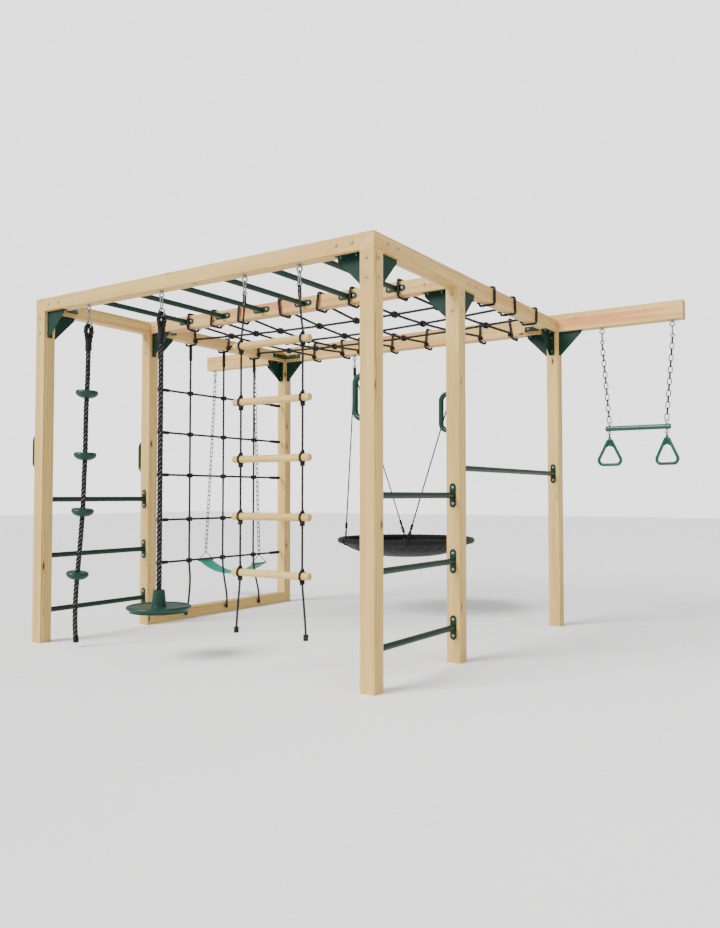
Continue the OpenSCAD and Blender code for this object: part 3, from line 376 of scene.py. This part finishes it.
def cover_material(name):
    """Black coated fabric: a fine weave from the UV, broad creases and a soft gloss."""
    m, t, shader, obj = material(name)
    uv = t.nodes.new("ShaderNodeTexCoord").outputs["UV"]
    p = add(t, "ShaderNodeSeparateXYZ", {"Vector": scaled(t, uv, (900, 900, 1))}).outputs
    weave = maths(t, "MULTIPLY", maths(t, "SINE", p[0]), maths(t, "SINE", p[1]))
    crease = noise(t, obj, 19.0, 5.0, 0.62)
    dust = ramp(t, noise(t, obj, 5.0, 5.0), 0.45, 0.8)
    c = mix(t, maths(t, "MULTIPLY", dust, 0.35), (0.0022, 0.0022, 0.0026), (0.010, 0.010, 0.011))
    c = mix(t, maths(t, "MULTIPLY", maths(t, "ADD", weave, 1.0), 0.12), c, (0.016, 0.016, 0.017))
    t.links.new(c, shader.inputs["Base Color"])
    t.links.new(maths(t, "ADD", maths(t, "MULTIPLY", crease, 0.2), 0.38), shader.inputs["Roughness"])
    h = maths(t, "ADD", maths(t, "MULTIPLY", crease, 1.0), maths(t, "MULTIPLY", weave, 0.05))
    bump = add(t, "ShaderNodeBump", {"Strength": 0.9, "Distance": 0.014, "Height": h})
    t.links.new(bump.outputs[0], shader.inputs["Normal"])
    shader.inputs["Specular IOR Level"].default_value = 0.22
    return m


M_STEEL = coated("green_steel", (0.0008, 0.020, 0.011), (0.005, 0.040, 0.025), 0.36, 420.0, coat=0.06)
M_PLATE = coated("green_plate", (0.0010, 0.022, 0.014), (0.007, 0.042, 0.030), 0.50, 420.0, coat=0.05)
M_PLASTIC = coated("green_plastic", (0.003, 0.034, 0.021), (0.012, 0.065, 0.044), 0.38, 520.0, coat=0.12)
M_RING = coated("green_ring", (0.003, 0.060, 0.036), (0.012, 0.100, 0.065), 0.28, 520.0, coat=0.30)
M_BAR = coated("green_bar", (0.003, 0.060, 0.038), (0.02, 0.10, 0.07), 0.24, 420.0, coat=0.5)
M_BELT = coated("teal_belt", (0.010, 0.200, 0.135), (0.05, 0.30, 0.22), 0.45, 260.0)
M_ZINC = zinc("zinc", (0.27, 0.27, 0.275), 0.26)
M_CHAIN = zinc("bright_chain", (0.055, 0.055, 0.057), 0.36)
M_DARK = coated("green_chain", (0.003, 0.014, 0.010), (0.07, 0.09, 0.08), 0.38, 700.0, coat=0.15)
# the rope gets the full painted highlight line, the cord a fainter one
M_ROPE = rope_material("black_rope", 1.0)
M_CORD = rope_material("black_cord", 0.35)
M_COVER = cover_material("black_cover")
M_WHIP = coated("black_whipping", (0.0022, 0.0022, 0.0025), (0.012, 0.012, 0.012), 0.5, 900.0)


def paint(node, mat):
    data = NODES[node].data
    data.materials.clear()
    data.materials.append(mat)


for seed, (node, along, streaks, knots) in enumerate((
    ("post_front_right", "Z", 0.20, 0.42), ("post_front_left", "Z", 0.12, 0.40),
    ("post_mid_left", "Z", 0.2, 0.45), ("post_mid_right", "Z", 0.15, 0.35),
    ("post_rear_right", "Z", 0.2, 0.4), ("post_rear_left", "Z", 0.15, 0.4),
    ("front_beam", "X", 0.30, 0.35), ("mid_beam", "X", 0.95, 0.35), ("rear_beam", "X", 0.90, 0.40),
    ("right_side_beam", "Y", 0.35, 0.30), ("left_front_side_beam", "Y", 0.3, 0.35),
    ("left_rear_side_beam", "Y", 0.35, 0.3), ("ground_rail", "Y", 0.2, 0.3),
    ("ladder_rungs", "X", 0.05, 0.05),
)):
    paint(node, pine(node, along, seed + 11, streaks, knots))
for node in NODES:
    if node.startswith(("monkey_bar", "right_ladder_bar", "left_ladder_bar", "high_side_bar")):
        paint(node, M_STEEL)
    elif node.startswith(("grip_", "foot_discs", "disc_seat")):
        paint(node, M_PLASTIC)
    elif node.endswith(("_bolts", "_nuts", "_eyes", "_link", "_links")):
        paint(node, M_ZINC)
    elif node.endswith("_brackets"):
        paint(node, M_PLATE)
paint("trapeze_bar", M_BAR)
paint("hand_ring_left", M_RING)
paint("hand_ring_right", M_RING)
paint("belt_seat", M_BELT)
paint("nest_ring", M_STEEL)


# ---------------------------------------------------------------- mesh tools
def smooth(points, step, closed=False):
    """Points on a smooth curve through the given ones, about step apart."""
    p = np.array(points, float)
    n = len(p)
    if closed:
        q = np.vstack([p[-1], p, p[0], p[1]])
        spans = n
    else:
        q = np.vstack([2 * p[0] - p[1], p, 2 * p[-1] - p[-2]])
        spans = n - 1
    out = []
    for k in range(spans):
        a, b, c, d = q[k:k + 4]
        m = max(1, int(round(np.linalg.norm(c - b) / step)))
        for t in np.arange(m) / m:
            bend = (2 * a - 5 * b + 4 * c - d) * t * t + (3 * b - a - 3 * c + d) * t ** 3
            out.append(0.5 * (2 * b + (c - a) * t + bend))
    if not closed:
        out.append(p[-1])
    return np.array(out)


def straight(points, step):
    """Points along a broken line, about step apart."""
    p = np.array(points, float)
    out = []
    for a, b in zip(p[:-1], p[1:]):
        m = max(1, int(round(np.linalg.norm(b - a) / step)))
        out += [a + (b - a) * t for t in np.arange(m) / m]
    return np.array(out + [p[-1]])


def frames(path, closed=False):
    """Tangent and two normals at each point, with as little twist as the path allows."""
    if closed:
        t = np.roll(path, -1, 0) - np.roll(path, 1, 0)
    else:
        t = np.gradient(path, axis=0)
    t /= np.linalg.norm(t, axis=1)[:, None]
    n = np.zeros_like(t)
    ref = np.eye(3)[np.argmin(np.abs(t[0]))]
    n[0] = np.cross(t[0], ref)
    n[0] /= np.linalg.norm(n[0])
    for k in range(1, len(path)):
        v = n[k - 1] - t[k] * np.dot(n[k - 1], t[k])
        n[k] = v / np.linalg.norm(v)
    return t, n, np.cross(t, n)


class Mesh:
    """Collects tubes and turns them into one object."""

    def __init__(self):
        self.v, self.f, self.uv, self.count = [], [], [], 0

    def grid(self, pts, close_u, close_v, u0=0.0, us=1.0, caps=False):
        """pts[i, j]: i along, j round."""
        a, b = pts.shape[:2]
        idx = np.arange(a * b).reshape(a, b) + self.count
        i1 = np.roll(idx, -1, 0) if close_u else idx[1:]
        i0 = idx if close_u else idx[:-1]
        j = np.roll(np.arange(b), -1) if close_v else np.arange(1, b)
        j0 = np.arange(b) if close_v else np.arange(b - 1)
        quads = np.stack([i0[:, j0], i0[:, j], i1[:, j], i1[:, j0]], -1).reshape(-1, 4)
        rows, cols = len(i0), len(j0)
        u = u0 + us * np.arange(rows + 1)
        w = np.arange(cols + 1) / cols
        uu, ww = np.meshgrid(np.arange(rows), np.arange(cols), indexing="ij")
        uv = np.stack([
            np.stack([u[uu], w[ww]], -1), np.stack([u[uu], w[ww + 1]], -1),
            np.stack([u[uu + 1], w[ww + 1]], -1), np.stack([u[uu + 1], w[ww]], -1)], 2).reshape(-1, 2)
        self.v.append(pts.reshape(-1, 3))
        self.f.append(quads)
        self.uv.append(uv)
        self.count += a * b
        if caps:
            for ring, step in ((pts[0], -1), (pts[-1], 1)):
                self.grid(np.stack([ring, ring * 0.02 + ring.mean(0) * 0.98])[::step], False, True)

    def tube(self, path, r, sides=8, closed=False):
        t, n, b = frames(path, closed)
        a = 2 * np.pi * np.arange(sides) / sides
        r = np.broadcast_to(np.asarray(r, float), (len(path),))[:, None, None]
        ring = np.cos(a)[None, :, None] * n[:, None] + np.sin(a)[None, :, None] * b[:, None]
        self.grid(path[:, None] + r * ring, closed, True, 0, 0.1, not closed)

    def rope(self, path, d, pitch, sides=6, closed=False, phase=0.0):
        """Three strands laid round the path, which has even steps."""
        t, n, b = frames(path, closed)
        seg = np.linalg.norm(np.diff(path, axis=0), axis=1)
        s = np.concatenate([[0], np.cumsum(seg)])
        d = np.broadcast_to(np.asarray(d, float), (len(path),))[:, None]
        if closed:
            total = s[-1] + np.linalg.norm(path[0] - path[-1])
            pitch = total / max(1, round(total / pitch))
        for k in range(3):
            phi = (2 * np.pi * (s / pitch + k / 3) + phase)[:, None]
            out = np.cos(phi) * n + np.sin(phi) * b
            line = path + out * d * 0.235
            lt = np.gradient(line, axis=0)
            lt /= np.linalg.norm(lt, axis=1)[:, None]
            o = out - lt * np.sum(out * lt, 1)[:, None]
            o /= np.linalg.norm(o, axis=1)[:, None]
            side = np.cross(lt, o)
            a = 2 * np.pi * np.arange(sides) / sides
            ring = np.cos(a)[None, :, None] * o[:, None] + np.sin(a)[None, :, None] * side[:, None]
            pts = line[:, None] + d[:, None] * 0.285 * ring
            self.grid(pts, closed, True, 0, float(np.mean(seg)) / pitch * 3, not closed)

    def make(self, name, mat):
        data = bpy.data.meshes.new(name)
        v = np.concatenate(self.v)
        f = np.concatenate(self.f)
        data.vertices.add(len(v))
        data.vertices.foreach_set("co", v.astype(np.float32).ravel())
        data.loops.add(len(f) * 4)
        data.loops.foreach_set("vertex_index", f.astype(np.int32).ravel())
        data.polygons.add(len(f))
        data.polygons.foreach_set("loop_start", (np.arange(len(f)) * 4).astype(np.int32))
        data.update(calc_edges=True)
        layer = data.uv_layers.new(name="uv")
        layer.data.foreach_set("uv", np.concatenate(self.uv).astype(np.float32).ravel())
        data.polygons.foreach_set("use_smooth", np.ones(len(f), bool))
        data.materials.append(mat)
        data.validate()
        o = bpy.data.objects.new(name, data)
        bpy.context.scene.collection.objects.link(o)
        return o


def mm(points):
    return np.array([P(*p) for p in points])


def circle(mid, axis_a, axis_b, r, n=20):
    a = 2 * np.pi * np.arange(n) / n
    turn = np.cos(a)[:, None] * np.array(axis_a, float) + np.sin(a)[:, None] * np.array(axis_b, float)
    return np.array(mid) + r * turn


def bow(top, low, side, r, n=8):
    """A flat link's wire: two half circles of radius r round top and low, joined by straight sides."""
    top, low, side = (np.array(v, float) for v in (top, low, side))
    up = (top - low) / np.linalg.norm(top - low)
    a = np.pi * np.arange(n + 1) / n
    over = top + r * (np.cos(a)[:, None] * side + np.sin(a)[:, None] * up)
    under = low - r * (np.cos(a)[:, None] * side + np.sin(a)[:, None] * up)
    return np.vstack([over, under])


def settle(obj, body, *nodes, finish=None):
    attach(obj, body)
    if nodes:
        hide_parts(*nodes)
    return obj


def knot(mesh, at, along, across, d, turns=3):
    """A hitch: turns of the rope round one strand, with one turn across them."""
    along, across = (np.array(v, float) / np.linalg.norm(v) for v in (along, across))
    third = np.cross(along, across)
    r = 0.86 * d
    for k in range(turns - 1):
        mid = np.array(at) + along * (k - (turns - 2) / 2) * 0.95 * d
        mesh.rope(mm(circle(mid, across, third, r, 18)), d / 1000 * 0.86, 3 * d / 1000, 5, True)
    tilt = along * 0.75 + across * 0.65
    mesh.rope(mm(circle(at, tilt / np.linalg.norm(tilt), third, r * 1.02, 18)),
              d / 1000 * 0.86, 3 * d / 1000, 5, True)


def whipping(mesh, top, low, d, ribs):
    """Twine wound tightly over a rope end."""
    path = np.linspace(mm([top])[0], mm([low])[0], ribs * 6 + 1)
    wave = np.abs(np.sin(np.pi * np.arange(len(path)) / 6))
    mesh.tube(path, d / 2000 * (0.88 + 0.12 * wave), 16)


# ---------------------------------------------------------------- free ropes
def hanging_rope(name, route, d, step, body, node):
    path = smooth(mm(route), step / 1000)
    length = float(np.linalg.norm(np.diff(path, axis=0), axis=1).sum())
    mesh = Mesh()
    mesh.rope(path, d / 1000, 2.5 * d / 1000, 10)
    obj = settle(mesh.make(name, M_ROPE), body, node, finish="black_rope")
    return obj, path, length


def rope_eye(name, x, body):
    """The second leg of the eye that goes over the ring, and the whipping below it."""
    m = Mesh()
    leg = [(x, FRONT_Y - a, z) for a, z in ((0, 1903), (15, 1893), (20, 1868), (14, 1835), (7, 1800))]
    m.rope(smooth(mm(leg), ROPE_STEP), 0.026, 0.068, 10)
    whipping(m, (x, FRONT_Y, 1824), (x, FRONT_Y, 1752), 41, 8)
    return settle(m.make(name, M_WHIP), body, finish="black_rope")


def eye_start(x):
    """The first leg of the eye, from the ring down to where the rope hangs straight."""
    return [(x, FRONT_Y + a, z) for a, z in ((0, 1903), (15, 1893), (20, 1868), (14, 1835), (4, 1790))]


climb_route = eye_start(CLIMB_X) + [(CLIMB_X + a, FRONT_Y, z) for a, z in CLIMB]
climbing, path, length = hanging_rope(
    "climbing_rope_laid", climb_route, FREE_ROPE_D, 8, "climbing_rope", "climbing_rope")
eye = rope_eye("climbing_rope_eye", CLIMB_X, "climbing_rope")
m = Mesh()
whipping(m, (CLIMB_X - 83, FRONT_Y, 62), (CLIMB_X - 80, FRONT_Y, 30), 35, 5)
tip = settle(m.make("climbing_rope_tip", M_WHIP), "climbing_rope", finish="black_rope")

disc_route = eye_start(DISC_X) + [(DISC_X, FRONT_Y, z) for z in (1740, 1500, 1200, 900, 600, 400, 300)]
disc_rope, path, length = hanging_rope(
    "disc_swing_rope_laid", disc_route, FREE_ROPE_D, 8, "disc_swing", "disc_swing_rope")
eye = rope_eye("disc_swing_rope_eye", DISC_X, "disc_swing")
m = Mesh()
m.tube(mm([(DISC_X, FRONT_Y, z) for z in (264, 268, 275, 278.5)]), np.array([26, 31, 31, 24]) / 1000, 20)
stopper = settle(m.make("disc_swing_stopper", M_WHIP), "disc_swing", finish="black_rope")

for side, hand in ((-1, "left"), (1, "right")):
    # both ropes lean the same way above the rungs and apart below them
    route = [(LADDER_X + side * (LADDER_HALF + a), FRONT_Y, z) for a, z in LADDER]
    rope, path, length = hanging_rope(
        "ladder_rope_laid_" + hand, route, LADDER_ROPE_D, 4, "rope_ladder", "ladder_rope_" + hand)
    m = Mesh()
    whipping(m, route[0], (LADDER_X + side * (LADDER_HALF - 19), FRONT_Y, 1863), 20, 9)
    x = LADDER_X + side * LADDER_HALF
    for z in RUNG_Z:
        m.rope(mm(circle((x, FRONT_Y, z), (0, 1, 0), (0, 0, 1), 25, 26)), 0.011, 0.030, 6, True)
        knot(m, (x, FRONT_Y, z - 31), (0, 0, 1), (1, 0, 0), 11)
        knot(m, (x, FRONT_Y, z + 29), (0, 0, 1), (1, 0, 0), 9, 2)
    end = LADDER_X + side * (LADDER_HALF + 23)
    knot(m, (end, FRONT_Y, 214), (0, 0, 1), (1, 0, 0), 11, 4)
    knots = settle(m.make("ladder_knots_" + hand, M_ROPE), "rope_ladder", finish="black_rope")

# ---------------------------------------------------------------- overhead net
NET_X = (TIMBER + LASH + CLEAR, RIGHT_X - LASH - CLEAR)
NET_Y = (MID_BACK + LASH + CLEAR, REAR_Y - 40 - LASH - CLEAR)


def lerp(a, b, t):
    return a + (b - a) * t


def share(v, span):
    return (v - span[0]) / (span[1] - span[0])


def net_point(x, y):
    sag = 38 * math.sin(math.pi * share(x, NET_X)) * math.sin(math.pi * share(y, NET_Y))
    return (x, y, POST_H + 26 - sag)


def net_knot(i, j):
    y = lerp(LEFT_Y[j], RIGHT_Y[j], share((MID_X[i] + REAR_X[i]) / 2, NET_X))
    return net_point(lerp(MID_X[i], REAR_X[i], share(y, NET_Y)), y)


net = Mesh()
for i in range(7):
    points = [net_point(MID_X[i], NET_Y[0]), *(net_knot(i, j) for j in range(3)),
              net_point(REAR_X[i], NET_Y[1])]
    net.rope(smooth(mm(points), ROPE_STEP), NET_LAID, NET_LAY, 6)
for j in range(3):
    points = [net_point(NET_X[0], LEFT_Y[j]), *(net_knot(i, j) for i in range(7)),
              net_point(NET_X[1], RIGHT_Y[j])]
    net.rope(smooth(mm(points), ROPE_STEP), NET_LAID, NET_LAY, 6)
for i in range(7):
    for j in range(3):
        knot(net, net_knot(i, j), (0, 1, 0), (1, 0, 0), 18)
settle(net.make("overhead_net_laid", M_ROPE), "frame", "overhead_net", finish="black_rope")


rnd_lash = random.Random(5)


def lean(mid):
    """How far a lashing slants and slips along its beam, by height."""
    slant, slip = rnd_lash.uniform(-0.16, 0.16), rnd_lash.uniform(-2, 2)
    return lambda z: slip + slant * (z - mid)


def wrap(lo, hi, r=9, n=4):
    """A loop with round corners from (lo) to (hi) in a plane."""
    out = []
    for cx, cy, a0 in ((hi[0] - r, hi[1] - r, 0), (lo[0] + r, hi[1] - r, 90), (lo[0] + r, lo[1] + r, 180),
                       (hi[0] - r, lo[1] + r, 270)):
        for k in range(n + 1):
            a = math.radians(a0 + 90 * k / n)
            out.append((cx + r * math.cos(a), cy + r * math.sin(a)))
    return out


def even(points, step):
    """A closed broken line, about step apart."""
    return straight(list(points) + [points[0]], step)[:-1]


OUT = 500 * NET_LAID + CLEAR
lashings = Mesh()
for xs, y0, high, gap, hitch_y, way in (
    (MID_X, MID_BACK - TIMBER, TIMBER, 4, MID_BACK + OUT, 1),
    (REAR_X, REAR_Y - 40, REAR_BEAM_H, 0, REAR_Y - 40 - OUT, -1),
):
    for x in xs:
        slip = lean(POST_H + high / 2)
        loop = wrap((y0 - OUT - gap, POST_H - OUT - 5), (y0 + TIMBER + OUT, POST_H + high + OUT), 13)
        lashings.rope(even(mm([(x + slip(b), a, b) for a, b in loop]), ROPE_STEP), NET_LAID, NET_LAY, 6, True)
        knot(lashings, (x, hitch_y, POST_H + 14), (0, 0, 1), (0, way, 0), 15)
for ys, x0, hitch_x in ((LEFT_Y, 0, TIMBER + OUT), (RIGHT_Y, RIGHT_X, RIGHT_X - OUT)):
    for y in ys:
        slip = lean(POST_H + TIMBER / 2)
        loop = wrap((x0 - OUT, POST_H - OUT - 5), (x0 + TIMBER + OUT, POST_H + TIMBER + OUT), 13)
        lashings.rope(even(mm([(a, y + slip(b), b) for a, b in loop]), ROPE_STEP), NET_LAID, NET_LAY, 6, True)
        knot(lashings, (hitch_x, y, POST_H + 14), (0, 0, 1), (1, 0, 0), 15)
settle(lashings.make("net_lashings_laid", M_ROPE), "frame", "net_lashings", finish="black_rope")

# ---------------------------------------------------------------- wall net
wall = Mesh()
WALL_TOP = POST_H - LASH - CLEAR
WALL_Y = (956.3, 2333.7)
for j, y in enumerate(LEFT_Y):
    points = [(40, y, WALL_TOP)] + [(40, y, z) for z in WALL_Z] + TAILS[j]
    wall.rope(smooth(mm(points), ROPE_STEP), NET_LAID, NET_LAY, 6)
    whipping(wall, (40, y, WALL_TOP), (40, y, WALL_TOP - 115), 25, 12)
    foot = TAILS[j][-1]
    knot(wall, (foot[0], foot[1], foot[2] + 14), (0, 0, 1), (1, 0, 0), 11)
for z in WALL_Z:
    points = [(40, y, z) for y in (WALL_Y[0], *LEFT_Y, WALL_Y[1])]
    wall.rope(smooth(mm(points), ROPE_STEP), NET_LAID, NET_LAY, 6)
    for y, way in ((WALL_Y[0], 1), (WALL_Y[1], -1)):
        whipping(wall, (40, y, z), (40, y + way * 115, z), 25, 12)
    for y in LEFT_Y:
        knot(wall, (40, y, z), (0, 0, 1), (0, 1, 0), 18)
settle(wall.make("wall_net_laid", M_ROPE), "frame", "wall_net", finish="black_rope")


# ---------------------------------------------------------------- chains
def chain(mesh, top, low, pitch=39.0, wide=31.0, wire=6.5):
    """Welded links, each turned a quarter from the last, hooked wire to wire."""
    top, low = np.array(top, float), np.array(low, float)
    down = (low - top) / np.linalg.norm(low - top)
    count = int(round(np.linalg.norm(low - top) / pitch))
    pitch = np.linalg.norm(low - top) / count
    sides = (np.array([0.0, 1.0, 0.0]), np.cross(down, [0, 1, 0]))
    r = (wide - wire) / 2
    half = (pitch + wire) / 2 - r
    for k in range(count):
        mid = top + down * (k + 0.5) * pitch
        side = sides[k % 2] / np.linalg.norm(sides[k % 2])
        mesh.tube(mm(bow(mid - down * half, mid + down * half, side, r, 6)), wire / 2000, 7, True)


def link_and_ring(mesh, x, y):
    mesh.tube(mm(bow((x, y, SWING_Z), (x, y, SWING_Z - 46), (0, 1, 0), 7.9)), 0.0035, 10, True)
    mesh.tube(mm(circle((x, y, SHORT_RING + 12), (1, 0, 0), (0, 0, 1), 12, 24)), 0.004, 10, True)


BELT_X, BELT_SPAN = -549.0, 630.0
m = Mesh()
for hook, side in ((-762, -1), (-292, 1)):
    foot = BELT_X + side * BELT_SPAN / 2
    link_and_ring(m, hook, REAR_Y)
    chain(m, (hook, REAR_Y, SHORT_RING), (foot, REAR_Y, 381))
    half = 100
    corners = [(foot, REAR_Y, 384), (foot, REAR_Y - half, 306), (foot, REAR_Y + half, 306)]
    m.tube(even(mm(corners), 0.006), 0.0035, 8, True)
settle(m.make("belt_chains_linked", M_CHAIN), "belt_swing", "belt_chains", finish="zinc")

TRAPEZE_Z, PIVOT_Z, EYE_R = 1340.0, 1298.0, 9.0
UPPER_Z = TRAPEZE_Z + 17 + EYE_R + 3 + 4
m = Mesh()
hangers = Mesh()
for hook, x in ((2777, 2820), (3233, 3190)):
    link_and_ring(hangers, hook, REAR_Y)
    chain(m, (hook, REAR_Y, SHORT_RING), (x, REAR_Y, UPPER_Z + EYE_R))
    hangers.tube(mm(circle((x, REAR_Y, UPPER_Z), (1, 0, 0), (0, 0, 1), EYE_R, 20)), 0.003, 8, True)
    hangers.tube(mm(circle((x, REAR_Y, PIVOT_Z + EYE_R), (1, 0, 0), (0, 0, 1), EYE_R, 20)), 0.003, 8, True)
    shank = [(x, REAR_Y, UPPER_Z - EYE_R), (x, REAR_Y, TRAPEZE_Z), (x, REAR_Y, PIVOT_Z + 2 * EYE_R)]
    hangers.tube(mm(shank), 0.003, 8)
    for side in (-1, 1):
        z = TRAPEZE_Z + side * 19
        hangers.tube(mm([(x, REAR_Y, z - 2), (x, REAR_Y, z + 2)]), 0.007, 6)
settle(m.make("trapeze_chains_linked", M_DARK), "trapeze", "trapeze_chains", finish="green_steel")
settle(hangers.make("trapeze_hangers", M_ZINC), "trapeze", finish="zinc")

# ---------------------------------------------------------------- nest swing
NEST = np.array([1240.0, 2400.0, 552.0])
NEST_R, SLEEVE_R, DEPTH = 505.0, 22.3, 112.0
SEAM_IN = 13.65
EDGE = NEST_R - SEAM_IN
LOOP_R = 26.6
LOOP_ANGLES = [math.radians(v) for v in (58, 122, 238, 302)]

m = Mesh()
thread = Mesh()
for a in LOOP_ANGLES:
    out = np.array([math.cos(a), math.sin(a), 0])
    rim = NEST + NEST_R * out
    m.rope(mm(circle(rim, out, (0, 0, 1), LOOP_R, 30)), 0.009, 0.024, 6, True)
    hook = NEST_HOOKS[0] if math.cos(a) < 0 else NEST_HOOKS[1]
    side = -1 if math.sin(a) < 0 else 1
    top = (hook, 2400 + side * 5, 1873)
    hold = rim + np.array([0, 0, LOOP_R + 3])
    m.rope(straight(mm([top, hold]), 0.0040), 0.011, 0.028, 6)
    rise = (np.array(top) - hold) / np.linalg.norm(np.array(top) - hold)
    whipping(m, hold + rise * 112, hold + rise * 72, 21, 5)
    for way in (-1, 1):
        spread = np.cross(rise, out) * way * 9
        leg = [hold + rise * 74, hold + rise * 40 + spread, hold + spread * 0.6]
        m.rope(smooth(mm(leg), 0.004), 0.009, 0.024, 6)
    grommet = NEST + (NEST_R - LOOP_R * 0.80) * out + np.array([0, 0, -LOOP_R * 0.62])
    lie = out * 0.62 - np.array([0, 0, 0.80])
    lie /= np.linalg.norm(lie)
    thread.tube(mm(circle(grommet, np.cross(out, (0, 0, 1)), np.cross(np.cross(out, (0, 0, 1)), lie), 8, 16)),
                0.0016, 6, True)
for x in NEST_HOOKS:
    whipping(m, (x, 2400, 1924), (x, 2400, 1863), 28, 8)
settle(m.make("nest_ropes_laid", M_CORD), "nest_swing", "nest_ropes", finish="black_rope")
eyelets = settle(thread.make("nest_eyelets", M_ZINC), "nest_swing", finish="zinc")


def cover_mesh(round_n=144, mat_n=26, wrap_n=14):
    """The mat from its middle out to the ring, then the sleeve once round the tube."""
    a = 2 * np.pi * np.arange(round_n) / round_n
    rows = []
    for k in range(mat_n):
        r = EDGE * (0.02 + 0.98 * k / (mat_n - 1))
        z = -DEPTH + (DEPTH - SEAM_IN) * (r / EDGE) ** 3
        rows.append(np.stack([r * np.cos(a), r * np.sin(a), np.full(round_n, z)], 1))
    start = math.radians(225)
    for k in range(1, wrap_n + 1):
        t = start - 2 * math.pi * k / wrap_n
        pucker = np.sin(a * 61 + 2 * np.sin(5 * a)) * 1.1 + np.sin(a * 143 + t) * 0.6
        r = SLEEVE_R - 1.2 + pucker
        rows.append(np.stack([(NEST_R + r * np.cos(t)) * np.cos(a), (NEST_R + r * np.cos(t)) * np.sin(a),
                              r * np.sin(t) * np.ones(round_n)], 1))
    return np.array(rows), mat_n


CLOTH_FRAMES = 24
MOVE_CAP = 0.012
rows, mat_n = cover_mesh()
m = Mesh()
m.grid(mm((rows + NEST).reshape(-1, 3)).reshape(rows.shape), False, True, 0, 1 / len(rows))
cover = m.make("nest_cover_sewn", M_COVER)
round_n = rows.shape[1]
# slack is put into the mat, and the cloth then settles with its rim held by the sleeve
rest = np.zeros(len(cover.data.vertices) * 3, np.float32)
cover.data.vertices.foreach_get("co", rest)
rest = rest.reshape(-1, 3)
held = cover.vertex_groups.new(name="held")
held.add(list(range((mat_n - 1) * round_n, len(rest))), 1.0, "REPLACE")
rnd = np.random.default_rng(7)
slack = rest.copy()
inner = (mat_n - 1) * round_n
slack[:inner, 2] += rnd.normal(0, 0.0022, inner)
cover.data.vertices.foreach_set("co", slack.ravel())
cloth = cover.modifiers.new("cloth", "CLOTH")
cloth.settings.quality = 6
cloth.settings.mass = 0.25
cloth.settings.tension_stiffness = 12
cloth.settings.compression_stiffness = 12
cloth.settings.shear_stiffness = 4
cloth.settings.bending_stiffness = 0.4
cloth.settings.shrink_min = -0.02
cloth.settings.vertex_group_mass = "held"
cloth.point_cache.frame_start = 1
cloth.point_cache.frame_end = CLOTH_FRAMES
for f in range(1, CLOTH_FRAMES + 1):
    bpy.context.scene.frame_set(f)
graph = bpy.context.evaluated_depsgraph_get()
done = np.zeros(len(rest) * 3, np.float32)
cover.evaluated_get(graph).data.vertices.foreach_get("co", done)
move = done.reshape(-1, 3) - rest
far = np.linalg.norm(move, axis=1)[:, None]
move *= np.minimum(1, MOVE_CAP / np.maximum(far, 1e-9))
cover.modifiers.remove(cloth)
cover.data.vertices.foreach_set("co", (rest + move).astype(np.float32).ravel())
cover.data.update()
bpy.context.scene.frame_set(1)
# the middle of the mat, closed by a small round patch
m = Mesh()
turns = np.linspace(0, 2 * np.pi, 24, False)
patch = np.array([[NEST + (r * math.cos(t), r * math.sin(t), -DEPTH + 1.5) for t in turns]
                  for r in (0.3, 9, 18)])
m.grid(mm(patch.reshape(-1, 3)).reshape(patch.shape), False, True)
seam = Mesh()
a = 2 * np.pi * np.arange(240) / 240
for r, z in ((EDGE - 6, -17.5), (EDGE - 11, -20.5)):
    seam.tube(mm(NEST + np.stack([r * np.cos(a), r * np.sin(a), z + 0 * a], 1)), 0.0009, 5, True)
patch = settle(m.make("nest_cover_middle", M_COVER), "nest_swing", finish="black_cover")
seam = settle(seam.make("nest_cover_seam", M_WHIP), "nest_swing", finish="black_cover")
settle(cover, "nest_swing", "nest_cover", finish="black_cover")

# ---------------------------------------------------------------- floor and light
floor = bpy.data.meshes.new("floor")
floor.from_pydata([(-30, -30, 0), (30, -30, 0), (30, 30, 0), (-30, 30, 0)], [], [(0, 1, 2, 3)])
floor_obj = bpy.data.objects.new("floor", floor)
bpy.context.scene.collection.objects.link(floor_obj)
pale, t, shader, obj = material("pale_floor")
tone = mix(t, noise(t, obj, 1.5, 2.0), (0.93, 0.93, 0.925), (0.96, 0.96, 0.955))
t.links.new(tone, shader.inputs["Base Color"])
shader.inputs["Roughness"].default_value = 0.9
floor.materials.append(pale)

world = bpy.data.worlds.new("soft_studio")
world.use_nodes = True
tree = world.node_tree
dome = tree.nodes["Background"]
dome.inputs[0].default_value = (1.0, 1.0, 1.0, 1)
dome.inputs[1].default_value = 0.72
backdrop = add(tree, "ShaderNodeBackground", {"Color": (1.0, 1.0, 1.0, 1), "Strength": 2.3})
seen = tree.nodes.new("ShaderNodeLightPath").outputs["Is Camera Ray"]
both = add(tree, "ShaderNodeMixShader", {0: seen, 1: dome.outputs[0], 2: backdrop.outputs[0]})
tree.links.new(both.outputs[0], tree.nodes["World Output"].inputs["Surface"])
bpy.context.scene.world = world


def softbox(name, at, towards, size, watts):
    lamp = bpy.data.lights.new(name, "AREA")
    lamp.shape = "DISK"
    lamp.size = size
    lamp.energy = watts
    obj = bpy.data.objects.new(name, lamp)
    obj.location = at
    way = np.array(towards, float) - np.array(at, float)
    tip = math.acos(-way[2] / np.linalg.norm(way))
    obj.rotation_euler = (tip, 0, math.atan2(way[1], way[0]) - math.pi / 2)
    bpy.context.scene.collection.objects.link(obj)


sun = bpy.data.lights.new("key", "SUN")
sun.energy = 5.4
sun.angle = math.radians(30)
key = bpy.data.objects.new("key", sun)
key.rotation_euler = (math.radians(52), 0, math.radians(-24))
bpy.context.scene.collection.objects.link(key)
softbox("fill", (6.0, -3.0, 3.5), (0, 0, 1), 4.0, 120)
